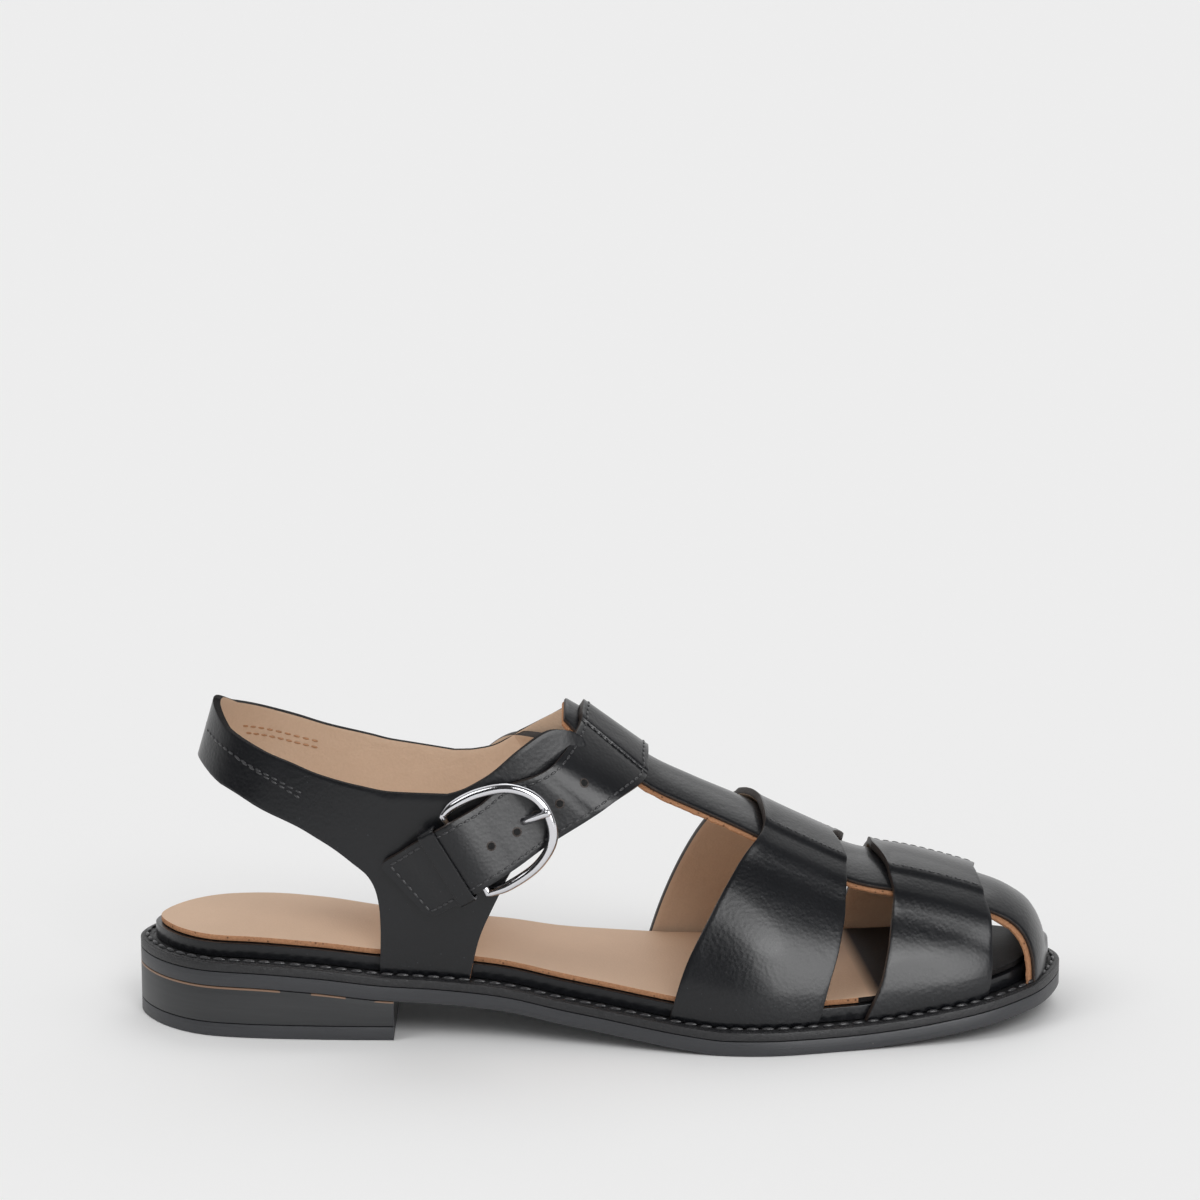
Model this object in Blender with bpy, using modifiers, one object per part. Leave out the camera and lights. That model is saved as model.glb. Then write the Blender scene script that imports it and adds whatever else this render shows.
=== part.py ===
"""Fisherman sandal, right shoe: a layered sole with a low heel carries an upper of leather straps.

Metres. +X runs to the toe, +Y to the inner side of the foot, +Z up. The origin lies on the floor
under the middle of the heel's round.
"""
import math
from collections import namedtuple

import bmesh
import bpy
import numpy as np

# Driving sizes
SOLE_LENGTH = 0.262
BALL_WIDTH = 0.088
HEEL_WIDTH = 0.060
HEEL_BACK = 0.031
HEEL_BREAST = 0.0732
HEEL_HEIGHT = 0.0146
TOE_SPRING = 0.0063
TOP_LIFT_THICKNESS = 0.0037
OUTSOLE_THICKNESS = 0.0040
WELT_THICKNESS = 0.0023
FOOTBED_THICKNESS = 0.0040
FOOTBED_ROUNDING = 0.0012
INSOLE_THICKNESS = 0.0015
SEAM_GAP = 0.0003

# The footbed is set in from the welt's edge, less at the back of the heel
LEDGE = 0.0058
HEEL_LEDGE = 0.0044
INSOLE_SET_IN = 0.0016

LEATHER = 0.0022
INSTEP_HEIGHT = 0.0923
COLLAR_HEIGHT = 0.092
SEWN_IN = 0.0004
T_BAR_HALF_WIDTH = 0.0145
STRAP_RAMP = 0.0034
FEATHER_BULGE = 0.0025
QUARTER_BULGE = 0.0015

BAR_RADIUS = 0.0009
FRAME_RADIUS = 0.00125
FRAME_LENGTH = 0.0258
FRAME_WIDTH = 0.0256
PRONG_RADIUS = 0.0006
TAB_THICKNESS = 0.0007
TAB_WIDTH = 0.014
KEEPER_WIDTH = 0.0048
KEEPER_THICKNESS = 0.0008
KEEPER_ROW = 42
STRAP_WIDTH = 0.0205
FRAME_RISE = 0.0016
BUCKLE_GAP = 0.0002
HOLE_ALONG = 0.0183
HOLE_RISE = -0.0012
HOLE_SIZES = (0.0046, 0.0022, 0.0056)
TAB_SLOT_ALONG = 0.0004
TAB_SLOT_SIZES = (0.0056, 0.0020, 0.0080)

# Plan of the sole from the back of the heel round the outer side to the toe and back along the inner
# side: along is a share of the length, across a share of the heel's or of the ball's width.
PlanRow = namedtuple("PlanRow", "along heel_share ball_share")
SOLE_PLAN = [
    PlanRow(0.000, 0.033, 0.0),
    PlanRow(0.020, -0.217, 0.0),
    PlanRow(0.063, -0.400, 0.0),
    PlanRow(0.118, -0.472, 0.0),
    PlanRow(0.210, -0.505, 0.0),
    PlanRow(0.305, -0.517, 0.0),
    PlanRow(0.401, 0.0, -0.381),
    PlanRow(0.500, 0.0, -0.435),
    PlanRow(0.603, 0.0, -0.500),
    PlanRow(0.680, 0.0, -0.514),
    PlanRow(0.763, 0.0, -0.460),
    PlanRow(0.828, 0.0, -0.417),
    PlanRow(0.893, 0.0, -0.364),
    PlanRow(0.939, 0.0, -0.283),
    PlanRow(0.977, 0.0, -0.155),
    PlanRow(1.000, 0.0, 0.057),
    PlanRow(0.985, 0.0, 0.227),
    PlanRow(0.943, 0.0, 0.352),
    PlanRow(0.878, 0.0, 0.437),
    PlanRow(0.801, 0.0, 0.477),
    PlanRow(0.717, 0.0, 0.486),
    PlanRow(0.630, 0.0, 0.449),
    PlanRow(0.534, 0.0, 0.358),
    PlanRow(0.439, 0.0, 0.278),
    PlanRow(0.344, 0.390, 0.0),
    PlanRow(0.248, 0.470, 0.0),
    PlanRow(0.153, 0.518, 0.0),
    PlanRow(0.076, 0.472, 0.0),
    PlanRow(0.025, 0.295, 0.0),
]

# Underside of the outsole: along as above, height as shares of the heel and of the toe spring
RiseRow = namedtuple("RiseRow", "along heel_share spring_share")
SOLE_RISE = [
    RiseRow(0.000, 1.000, 0.0),
    RiseRow(0.118, 0.993, 0.0),
    RiseRow(0.195, 0.918, 0.0),
    RiseRow(0.273, 0.774, 0.0),
    RiseRow(0.324, 0.733, 0.0),
    RiseRow(0.391, 0.637, 0.0),
    RiseRow(0.458, 0.425, 0.0),
    RiseRow(0.500, 0.308, 0.0),
    RiseRow(0.544, 0.185, 0.0),
    RiseRow(0.588, 0.075, 0.0),
    RiseRow(0.634, 0.0, 0.0),
    RiseRow(0.748, 0.0, 0.0),
    RiseRow(0.828, 0.0, 0.19),
    RiseRow(0.870, 0.0, 0.40),
    RiseRow(0.916, 0.0, 0.635),
    RiseRow(0.958, 0.0, 0.84),
    RiseRow(1.000, 0.0, 1.0),
]

# Outer face of the T-bar down the middle of the foot, from the instep to the toe: height is a share
# of the instep's height
CrestRow = namedtuple("CrestRow", "along height")
CREST = [
    CrestRow(0.462, 0.982),
    CrestRow(0.500, 0.915),
    CrestRow(0.550, 0.805),
    CrestRow(0.599, 0.736),
    CrestRow(0.653, 0.668),
    CrestRow(0.710, 0.588),
    CrestRow(0.771, 0.512),
    CrestRow(0.828, 0.480),
    CrestRow(0.872, 0.447),
    CrestRow(0.916, 0.407),
    CrestRow(0.938, 0.382),
    CrestRow(0.960, 0.341),
    CrestRow(0.971, 0.304),
    CrestRow(0.978, 0.264),
    CrestRow(0.982, 0.225),
    CrestRow(0.984, 0.180),
    CrestRow(0.985, 0.141),
]

# Form of the last's sections: where the crest lies across, how full the sides and the crest are, and
# the T-bar's half width as a share of its usual one
FormRow = namedtuple("FormRow", "along crest_across side_handle crest_handle bar_width")
LAST_FORM = [
    FormRow(0.450, 0.000, 0.45, 0.60, 0.62),
    FormRow(0.485, 0.000, 0.45, 0.60, 0.96),
    FormRow(0.599, 0.000, 0.50, 0.44, 1.02),
    FormRow(0.660, 0.000, 0.51, 0.45, 1.12),
    FormRow(0.740, 0.000, 0.52, 0.46, 1.21),
    FormRow(0.850, 0.010, 0.55, 0.50, 1.24),
    FormRow(0.931, 0.025, 0.55, 0.55, 1.16),
    FormRow(0.985, 0.057, 0.55, 0.55, 1.62),
]
TOE_PIVOT = 0.931

# A vamp strap's edges: girth runs from the crest (0) to the welt (1), the edges are shares of length
StrapRow = namedtuple("StrapRow", "girth rear front")
REAR_STRAP = {
    -1: [StrapRow(0.00, 0.662, 0.743), StrapRow(0.18, 0.668, 0.758), StrapRow(0.38, 0.648, 0.758),
         StrapRow(0.62, 0.616, 0.751), StrapRow(0.82, 0.589, 0.739), StrapRow(1.00, 0.573, 0.728)],
    1: [StrapRow(0.00, 0.662, 0.743), StrapRow(0.20, 0.640, 0.760), StrapRow(0.50, 0.603, 0.757),
        StrapRow(0.80, 0.569, 0.738), StrapRow(1.00, 0.550, 0.722)],
}
FRONT_STRAP = {
    -1: [StrapRow(0.00, 0.789, 0.898), StrapRow(0.20, 0.804, 0.904), StrapRow(0.40, 0.810, 0.912),
         StrapRow(0.62, 0.806, 0.914), StrapRow(0.82, 0.797, 0.912), StrapRow(1.00, 0.779, 0.909)],
    1: [StrapRow(0.00, 0.789, 0.898), StrapRow(0.25, 0.788, 0.904), StrapRow(0.60, 0.779, 0.908),
        StrapRow(1.00, 0.758, 0.893)],
}

# Ankle opening over the heel seat: how far in it lies at each share of the length
AnkleRow = namedtuple("AnkleRow", "along outer_share inner_share")
ANKLE_PLAN = [
    AnkleRow(0.020, 0.80, 0.80),
    AnkleRow(0.120, 0.84, 0.84),
    AnkleRow(0.215, 0.96, 1.05),
    AnkleRow(0.310, 1.02, 1.28),
    AnkleRow(0.393, 0.86, 1.32),
    AnkleRow(0.447, 0.62, 0.98),
    AnkleRow(0.475, 0.44, 0.70),
]
SLING_LEAN = 0.0205
LEAN_REACH = 0.50

# The quarter as spans of matched points on its lower edge and on its collar, along as shares of the
# length and height as shares of the collar's; a height of None is the welt's top
EdgeRow = namedtuple("EdgeRow", "low_along low_height collar_along collar_height")
WING_SPAN = [
    EdgeRow(0.486, 0.850, 0.476, 0.908),
    EdgeRow(0.472, 0.750, 0.462, 0.936),
    EdgeRow(0.435, 0.640, 0.440, 0.940),
    EdgeRow(0.407, 0.535, 0.412, 0.890),
    EdgeRow(0.391, 0.445, 0.385, 0.826),
    EdgeRow(0.375, 0.345, 0.362, 0.787),
    EdgeRow(0.367, 0.270, 0.350, 0.772),
    EdgeRow(0.361, None, 0.338, 0.762),
]
STEM_SPAN = [
    EdgeRow(0.361, None, 0.338, 0.762),
    EdgeRow(0.265, None, 0.277, 0.766),
]
SLING_SPAN = [
    EdgeRow(0.265, None, 0.277, 0.766),
    EdgeRow(0.266, 0.345, 0.268, 0.769),
    EdgeRow(0.263, 0.445, 0.260, 0.773),
    EdgeRow(0.254, 0.505, 0.250, 0.779),
    EdgeRow(0.237, 0.548, 0.232, 0.789),
    EdgeRow(0.205, 0.612, 0.200, 0.812),
    EdgeRow(0.162, 0.674, 0.160, 0.854),
    EdgeRow(0.110, 0.747, 0.112, 0.911),
    EdgeRow(0.062, 0.794, 0.084, 0.960),
    EdgeRow(None, 0.806, None, 0.979),
]

# How much higher the collar lies on the inner side, as a share of the collar's height
InnerRow = namedtuple("InnerRow", "along rise")
INNER_COLLAR = [
    InnerRow(0.050, 0.000),
    InnerRow(0.110, 0.020),
    InnerRow(0.200, 0.022),
    InnerRow(0.277, 0.012),
    InnerRow(0.338, -0.006),
    InnerRow(0.385, -0.050),
    InnerRow(0.412, -0.070),
    InnerRow(0.440, -0.070),
    InnerRow(0.462, -0.030),
    InnerRow(0.476, -0.010),
]
SPAN_COLUMNS = {"wing": 12, "stem": 5, "sling": 15}

# The ankle strap beside the foot: middle of the strap, how far its width slants forward, and how far
# its inner face stands off the quarter's inner face
BesideRow = namedtuple("BesideRow", "along height slant stand_off")
INNER_STRAP = [
    BesideRow(0.386, 0.645, 34.0, LEATHER - 3 * SEWN_IN),
    BesideRow(0.4225, 0.715, 38.0, LEATHER - 3 * SEWN_IN),
]
OUTER_STRAP = [
    BesideRow(0.4715, 0.765, 52.0, LEATHER + 0.0012),
    BesideRow(0.4190, 0.700, 36.0, LEATHER + 0.0014),
    BesideRow(0.3880, 0.640, 31.5, LEATHER + 0.0030),
    BesideRow(0.3570, 0.590, 29.0, LEATHER + 0.0053),
    BesideRow(0.3285, 0.540, 33.0, LEATHER + 0.0044),
    BesideRow(0.3110, 0.503, 37.5, LEATHER + 0.0018),
    BesideRow(0.2935, 0.475, 43.5, LEATHER + 0.0008),
]
BAR_ROW = 3

# The ankle strap over the T-bar: its edges along the foot at a girth from the crest, and the share of
# the leather that it lies over
OverRow = namedtuple("OverRow", "rear_along rear_girth front_along front_girth lift")
OVER_STRAP = [
    OverRow(0.450, 0.0190, 0.524, 0.0200, 0.60),
    OverRow(0.463, 0.0145, 0.536, 0.0150, 1.0),
    OverRow(0.470, 0.0075, 0.541, 0.0075, 1.0),
    OverRow(0.472, 0.0000, 0.541, 0.0000, 1.0),
    OverRow(0.471, -0.0060, 0.541, -0.0075, 1.0),
    OverRow(0.470, -0.0108, 0.538, -0.0150, 1.0),
]

# D frame as shares of its length along the strap and of half its width across, and how far each
# point has risen from the bar's level to the top of the strap
FrameRow = namedtuple("FrameRow", "along across rise size")
FRAME_LOOP = [
    FrameRow(0.00, -0.96, 0.00, 0.80),
    FrameRow(0.16, -1.05, 0.15, 1.00),
    FrameRow(0.45, -1.04, 0.45, 1.00),
    FrameRow(0.76, -0.84, 0.78, 1.00),
    FrameRow(0.96, -0.42, 1.00, 1.00),
    FrameRow(1.00, 0.10, 1.00, 1.00),
    FrameRow(0.90, 0.64, 0.90, 1.00),
    FrameRow(0.62, 0.98, 0.62, 1.00),
    FrameRow(0.25, 1.08, 0.25, 1.00),
    FrameRow(0.00, 1.02, 0.00, 0.80),
]

# Prong from the bar to the frame, along the strap and out from the bar's middle, and the same for the
# middle of the leather tab that wraps the bar
BuckleRow = namedtuple("BuckleRow", "along rise")
PRONG_PATH = [
    BuckleRow(0.0016, 0.0016),
    BuckleRow(0.0045, 0.0005),
    BuckleRow(0.0080, -0.0009),
    BuckleRow(0.0120, -0.00195),
    BuckleRow(0.0150, -0.0026),
    BuckleRow(0.0166, -0.00275),
    BuckleRow(0.0178, -0.0019),
    BuckleRow(0.0190, -0.0002),
    BuckleRow(0.0204, 0.0010),
]
PRONG_HOOK = (-220, 90)
HOOK_SAMPLES = 14
PRONG_SAMPLES = 48
FRAME_SAMPLES = 44
FOLD_SAMPLES = 9
PRONG_OVERHANG = BuckleRow(0.0022, -0.0004)
TAB_TAIL = [BuckleRow(0.0010, 0.95), BuckleRow(0.0031, -0.27)]

PLAN_SAMPLES = 720
CAP_SAMPLES = 34


def curve_through(points, samples, closed=False):
    """Smooth curve through the points, as an array of samples."""
    knots = np.asarray(points, float)
    count = len(knots)
    spans = count if closed else count - 1
    at = np.linspace(0.0, spans, samples, endpoint=not closed)
    first = np.minimum(at.astype(int), spans - 1)
    part = (at - first)[:, None]
    if closed:
        a, b, c, d = (knots[(first + k) % count] for k in (-1, 0, 1, 2))
    else:
        padded = np.vstack([2 * knots[0] - knots[1], knots, 2 * knots[-1] - knots[-2]])
        a, b, c, d = (padded[first + k] for k in (0, 1, 2, 3))
    cubic = 3 * b - a - 3 * c + d
    return 0.5 * (2 * b + (c - a) * part + (2 * a - 5 * b + 4 * c - d) * part**2 + cubic * part**3)


def blend_table(xs, ys, at):
    """Value of a table at a place, on a curve that never swings past its rows."""
    xs, ys = np.asarray(xs, float), np.asarray(ys, float)
    secants = np.diff(ys) / np.diff(xs)
    inner = np.where(secants[:-1] * secants[1:] > 0,
                     2 * secants[:-1] * secants[1:] / (secants[:-1] + secants[1:] + 1e-12), 0.0)
    slopes = np.concatenate([[secants[0]], inner, [secants[-1]]])
    at = np.clip(at, xs[0], xs[-1])
    k = np.clip(np.searchsorted(xs, at) - 1, 0, len(xs) - 2)
    span = xs[k + 1] - xs[k]
    t = (at - xs[k]) / span
    rise = ys[k + 1] - ys[k]
    return (ys[k] + slopes[k] * span * t + (3 * rise - (2 * slopes[k] + slopes[k + 1]) * span) * t**2
            + ((slopes[k] + slopes[k + 1]) * span - 2 * rise) * t**3)


def x_of(along):
    return along * SOLE_LENGTH - HEEL_BACK


def share_of(x):
    return (x + HEEL_BACK) / SOLE_LENGTH


def sole_underside(x):
    heights = [row.heel_share * HEEL_HEIGHT + row.spring_share * TOE_SPRING for row in SOLE_RISE]
    return blend_table([row.along for row in SOLE_RISE], heights, share_of(x))


def welt_bottom(x):
    return sole_underside(x) + OUTSOLE_THICKNESS + SEAM_GAP


def welt_top(x):
    return welt_bottom(x) + WELT_THICKNESS


def footbed_bottom(x):
    return welt_top(x) + SEAM_GAP


def footbed_top(x):
    return footbed_bottom(x) + FOOTBED_THICKNESS


def insole_bottom(x):
    return footbed_top(x) + SEAM_GAP


def insole_top(x):
    return insole_bottom(x) + INSOLE_THICKNESS


PLAN = curve_through([(x_of(row.along), row.heel_share * HEEL_WIDTH + row.ball_share * BALL_WIDTH)
                      for row in SOLE_PLAN], PLAN_SAMPLES, closed=True)


def ledge_at(x):
    return LEDGE - (LEDGE - HEEL_LEDGE) * np.clip(-x / HEEL_BACK, 0.0, 1.0)


def set_in(distance):
    """The sole's plan moved in by a distance, from the heel's back round the outer side."""
    ahead = np.roll(PLAN, -1, axis=0) - np.roll(PLAN, 1, axis=0)
    ahead /= np.linalg.norm(ahead, axis=1)[:, None]
    inward = np.column_stack([-ahead[:, 1], ahead[:, 0]])
    moved = PLAN + inward * np.reshape(distance, (-1, 1))
    return np.roll(moved, -int(np.argmin(moved[:, 0])), axis=0)


def resample(line, count):
    steps = np.linalg.norm(np.diff(line, axis=0), axis=1)
    along = np.concatenate([[0.0], np.cumsum(steps)])
    at = np.linspace(0.0, along[-1], count)
    return np.column_stack([np.interp(at, along, line[:, k]) for k in range(line.shape[1])])


def plan_grid(rows, columns, distance, front=None):
    """Points that fill the plan from the heel to the toe, or to a straight front edge."""
    line = set_in(distance)
    toe = int(np.argmax(line[:, 0]))
    outer = line[CAP_SAMPLES:toe - CAP_SAMPLES + 1]
    inner = line[toe + CAP_SAMPLES:len(line) - CAP_SAMPLES + 1][::-1]
    heel_cap = resample(np.vstack([line[CAP_SAMPLES::-1], line[:-CAP_SAMPLES - 1:-1]]), columns)
    toe_cap = resample(line[toe - CAP_SAMPLES:toe + CAP_SAMPLES + 1], columns)
    outer_end = front if front is not None else outer[-1, 0]
    inner_end = front if front is not None else inner[-1, 0]
    outer_x = np.linspace(outer[0, 0], outer_end, rows)
    inner_x = np.linspace(inner[0, 0], inner_end, rows)
    outer_edge = np.column_stack([outer_x, np.interp(outer_x, outer[:, 0], outer[:, 1])])
    inner_edge = np.column_stack([inner_x, np.interp(inner_x, inner[:, 0], inner[:, 1])])
    if front is not None:
        toe_cap = np.linspace(outer_edge[-1], inner_edge[-1], columns)
    u = np.linspace(0, 1, rows)[:, None, None]
    v = np.linspace(0, 1, columns)[None, :, None]
    sides = (1 - v) * outer_edge[:, None] + v * inner_edge[:, None]
    ends = (1 - u) * heel_cap[None] + u * toe_cap[None]
    corners = ((1 - u) * ((1 - v) * outer_edge[0] + v * inner_edge[0])
               + u * ((1 - v) * outer_edge[-1] + v * inner_edge[-1]))
    return sides + ends - corners


def material(name, colour, roughness, metallic=0.0):
    made = bpy.data.materials.new(name)
    made.use_nodes = True
    shader = made.node_tree.nodes["Principled BSDF"]
    shader.inputs["Base Color"].default_value = (*colour, 1.0)
    shader.inputs["Roughness"].default_value = roughness
    shader.inputs["Metallic"].default_value = metallic
    return made


def new_object(name, mesh, finish, collection):
    made = bpy.data.objects.new(name, mesh)
    mesh.materials.append(finish)
    collection.objects.link(made)
    return made


def grid_solid(name, lower, upper, finish, collection):
    """Closed solid between two grids of points of one size."""
    rows, columns = lower.shape[:2]
    bm = bmesh.new()
    bmesh.ops.create_grid(bm, x_segments=rows - 1, y_segments=columns - 1, size=1.0)
    raised = bmesh.ops.extrude_face_region(bm, geom=bm.faces[:])["geom"]
    raised_points = [item for item in raised if isinstance(item, bmesh.types.BMVert)]
    bmesh.ops.translate(bm, verts=raised_points, vec=(0.0, 0.0, 1.0))
    for point in bm.verts:
        row = round((point.co.x + 1.0) / 2.0 * (rows - 1))
        column = round((point.co.y + 1.0) / 2.0 * (columns - 1))
        grid = upper if point.co.z > 0.5 else lower
        point.co = grid[row, column]
    bm.normal_update()
    bmesh.ops.recalc_face_normals(bm, faces=bm.faces)
    mesh = bpy.data.meshes.new(name)
    bm.to_mesh(mesh)
    bm.free()
    mesh.shade_smooth()
    mesh.set_sharp_from_angle(angle=math.radians(40))
    return new_object(name, mesh, finish, collection)


def slab(name, plan, bottom, top, finish, collection):
    lower = np.dstack([plan, bottom(plan[..., 0])])
    upper = np.dstack([plan, top(plan[..., 0])])
    return grid_solid(name, lower, upper, finish, collection)


def grid_normals(grid, away_from):
    """Unit normals of a grid of points, turned away from a line of inner points."""
    normals = np.cross(np.gradient(grid, axis=0), np.gradient(grid, axis=1))
    normals /= np.linalg.norm(normals, axis=2)[..., None]
    outward = np.sum(normals * (grid - away_from), axis=2).mean()
    return normals if outward > 0 else -normals


def leather_sheet(name, base, lift, away_from, finish, collection, level_rows=(), level_columns=()):
    """Leather of even thickness whose inner face lies a lift outside the base grid."""
    normals = grid_normals(base, away_from)
    inner = base + normals * lift[..., None]
    outer = inner + normals * LEATHER
    for row in level_rows:
        outer[row, :, 2] = inner[row, :, 2]
    for column in level_columns:
        outer[:, column, 2] = inner[:, column, 2]
    return grid_solid(name, inner, outer, finish, collection)


FEATHER = set_in(ledge_at(PLAN[:, 0]) - SEAM_GAP)
FEATHER_TOE = int(np.argmax(FEATHER[:, 0]))
OUTER_FEATHER = FEATHER[:FEATHER_TOE + 1]
INNER_FEATHER = np.vstack([FEATHER[FEATHER_TOE:], FEATHER[:1]])[::-1]


def feather_y(side, x):
    line = OUTER_FEATHER if side < 0 else INNER_FEATHER
    return float(np.interp(x, line[:, 0], line[:, 1]))


def form_at(x, column):
    values = [getattr(row, column) for row in LAST_FORM]
    return float(blend_table([row.along for row in LAST_FORM], values, share_of(x)))


CREST_OUTER = curve_through([(x_of(row.along), row.height * INSTEP_HEIGHT) for row in CREST], 240)
CREST_AHEAD = np.gradient(CREST_OUTER, axis=0)
CREST_AHEAD /= np.linalg.norm(CREST_AHEAD, axis=1)[:, None]
CREST_INNER = CREST_OUTER + np.column_stack([CREST_AHEAD[:, 1], -CREST_AHEAD[:, 0]]) * LEATHER


def last_section(x_mid, radial, reach, side):
    """Half section of the last from the crest to the feather, as dense points."""
    pivot_z = float(footbed_bottom(x_mid))
    crest_x = x_mid + radial[0] * reach
    crest_y = form_at(crest_x, "crest_across") * BALL_WIDTH
    half = feather_y(side, x_mid) - crest_y
    side_reach = form_at(crest_x, "side_handle") * reach
    top = (crest_y, reach)
    top_handle = (crest_y + half * form_at(crest_x, "crest_handle"), reach)
    side_handle = (crest_y + half + side * FEATHER_BULGE, side_reach)
    feather = (crest_y + half, 0.0)
    t = np.linspace(0.0, 1.0, 60)[:, None]
    flat = ((1 - t)**3 * np.array(top) + 3 * (1 - t)**2 * t * np.array(top_handle)
            + 3 * (1 - t) * t**2 * np.array(side_handle) + t**3 * np.array(feather))
    return np.column_stack([x_mid + radial[0] * flat[:, 1], flat[:, 0],
                            pivot_z + radial[1] * flat[:, 1]])


def upright_section(x, side):
    crest_z = float(np.interp(x, CREST_INNER[:, 0], CREST_INNER[:, 1]))
    return last_section(x, (0.0, 1.0), crest_z - float(footbed_bottom(x)), side)


def girth_of(section):
    return float(np.linalg.norm(np.diff(section, axis=0), axis=1).sum())


def at_girth(section, distance):
    along = np.concatenate([[0.0], np.cumsum(np.linalg.norm(np.diff(section, axis=0), axis=1))])
    return np.array([np.interp(distance, along, section[:, k]) for k in range(3)])


def axis_points(base, height):
    """Points under a grid, along the foot's middle, that its normals turn away from."""
    inside = base.copy()
    inside[..., 1] = 0.0
    inside[..., 2] = height
    return inside


def beside_footbed(point):
    """A low point of the toe, moved out to the line that the footbed's side leaves free."""
    centre = np.array([x_of(TOE_PIVOT), 0.0])
    offset = point[:2] - centre
    if offset[0] < 0 or point[2] > float(insole_top(point[0])):
        return point
    front = FEATHER[FEATHER[:, 0] > centre[0]] - centre
    angles = np.arctan2(front[:, 1], front[:, 0])
    order = np.argsort(angles)
    reach = np.interp(math.atan2(offset[1], offset[0]), angles[order], np.hypot(*front[order].T))
    flat = centre + offset * max(1.0, reach / np.hypot(*offset))
    return np.array([*flat, point[2]])


def t_bar(finish, collection):
    """Strap along the middle of the foot, from the instep over the toe to the welt."""
    crest = resample(CREST_INNER, 38)
    pivot_x = x_of(TOE_PIVOT)
    pivot = np.array([pivot_x, float(footbed_bottom(pivot_x))])
    steps = np.linspace(-1.0, 1.0, 9)
    base = np.zeros((len(crest), len(steps), 3))
    for row, point in enumerate(crest):
        if point[0] > pivot_x:
            reach = float(np.linalg.norm(point - pivot))
            mid, radial = pivot_x, (point - pivot) / reach
        else:
            mid, radial = point[0], (0.0, 1.0)
            reach = point[1] - float(footbed_bottom(mid))
        half_width = form_at(point[0], "bar_width") * T_BAR_HALF_WIDTH
        for column, step in enumerate(steps):
            section = last_section(mid, radial, reach, -1 if step < 0 else 1)
            base[row, column] = beside_footbed(at_girth(section, abs(step) * half_width))
    last_row = base[-1]
    last_row[:, 2] = [float(footbed_bottom(x)) for x in last_row[:, 0]]
    away = axis_points(base, float(footbed_bottom(pivot_x)))
    away[..., 0] = np.minimum(base[..., 0], pivot_x)
    return leather_sheet("upper", base, np.zeros(base.shape[:2]), away, finish, collection,
                         level_rows=(-1,))


def vamp_strap(name, edges, finish, collection, columns=6):
    """Strap across the foot that rises over the T-bar in a step and ends at the welt on both sides."""
    middle_x = x_of((edges[-1][0].rear + edges[-1][0].front) / 2)
    half = T_BAR_HALF_WIDTH * form_at(middle_x, "bar_width") + SEAM_GAP
    bar_lift = LEATHER - SEWN_IN
    over = [(half * share, bar_lift) for share in (0.0, 0.33, 0.67, 1.0)]
    ramp = [(half + 0.3 * STRAP_RAMP, 0.8 * bar_lift), (half + 0.7 * STRAP_RAMP, 0.2 * bar_lift)]
    down = np.linspace(0.0, 1.0, 9)
    half_rows = {}
    for side in (-1, 1):
        table = edges[side]
        girths = [row.girth for row in table]
        middle_girth = girth_of(upright_section(middle_x, side))
        rows, lifts = [], []
        for kind, item in [("over", item) for item in over + ramp] + [("down", share) for share in down]:
            foot = half + STRAP_RAMP
            nominal = item[0] if kind == "over" else foot + item * (middle_girth - foot)
            share = nominal / middle_girth
            rear = x_of(float(blend_table(girths, [row.rear for row in table], share)))
            front = x_of(float(blend_table(girths, [row.front for row in table], share)))
            points = []
            for x in np.linspace(rear, front, columns):
                section = upright_section(x, side)
                girth = item[0] if kind == "over" else foot + item * (girth_of(section) - foot)
                points.append(at_girth(section, girth))
            rows.append(points)
            lifts.append(item[1] if kind == "over" else 0.0)
        half_rows[side] = (rows, lifts)
    base = np.array(half_rows[-1][0][::-1] + half_rows[1][0][1:])
    lift = np.array(half_rows[-1][1][::-1] + half_rows[1][1][1:])
    lift = np.repeat(lift[:, None], columns, axis=1)
    away = axis_points(base, float(footbed_bottom(x_of(edges[-1][0].rear))))
    return leather_sheet(name, base, lift, away, finish, collection, level_rows=(0, -1))


def quarter_point(turn, rise):
    """Point on the quarter's inner face: turn runs from the heel's back, outer side below zero."""
    steps = FEATHER_TOE if turn < 0 else len(FEATHER) - FEATHER_TOE
    at = -turn * steps if turn < 0 else len(FEATHER) - turn * steps
    ring = np.vstack([FEATHER, FEATHER[:1]])
    low = np.array([np.interp(at, np.arange(len(ring)), ring[:, k]) for k in (0, 1)])
    column = "outer_share" if turn < 0 else "inner_share"
    shares = [getattr(row, column) for row in ANKLE_PLAN]
    inward = float(blend_table([row.along for row in ANKLE_PLAN], shares, share_of(low[0])))
    back = FEATHER[0, 0]
    lean = SLING_LEAN * max(0.0, 1.0 - (low[0] - back) / (LEAN_REACH * SOLE_LENGTH))
    high = np.array([low[0] + lean, low[1] * inward])
    flat = low * (1 - rise) + high * rise
    bulge = QUARTER_BULGE * math.sin(math.pi * min(max(rise, 0.0), 1.0))
    flat[1] += math.copysign(bulge, flat[1]) * min(1.0, abs(low[1]) / (0.25 * HEEL_WIDTH))
    base_z = float(footbed_bottom(low[0]))
    return np.array([flat[0], flat[1], base_z * (1 - rise) + COLLAR_HEIGHT * rise])


def find_on_quarter(side, x, z):
    """Turn and rise of the quarter's point at a place along and a height."""
    rise = (z - float(footbed_bottom(x))) / (COLLAR_HEIGHT - float(footbed_bottom(x)))
    turns = np.linspace(0.0, 0.75, 200)
    for _ in range(4):
        points = np.array([quarter_point(side * max(turn, 1e-6), rise) for turn in turns])
        turn = float(np.interp(x, points[:, 0], turns))
        base_z = float(np.interp(x, points[:, 0], points[:, 2]))
        rise += (z - base_z) / (COLLAR_HEIGHT - float(footbed_bottom(x)))
    return side * max(turn, 1e-6), rise


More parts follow.
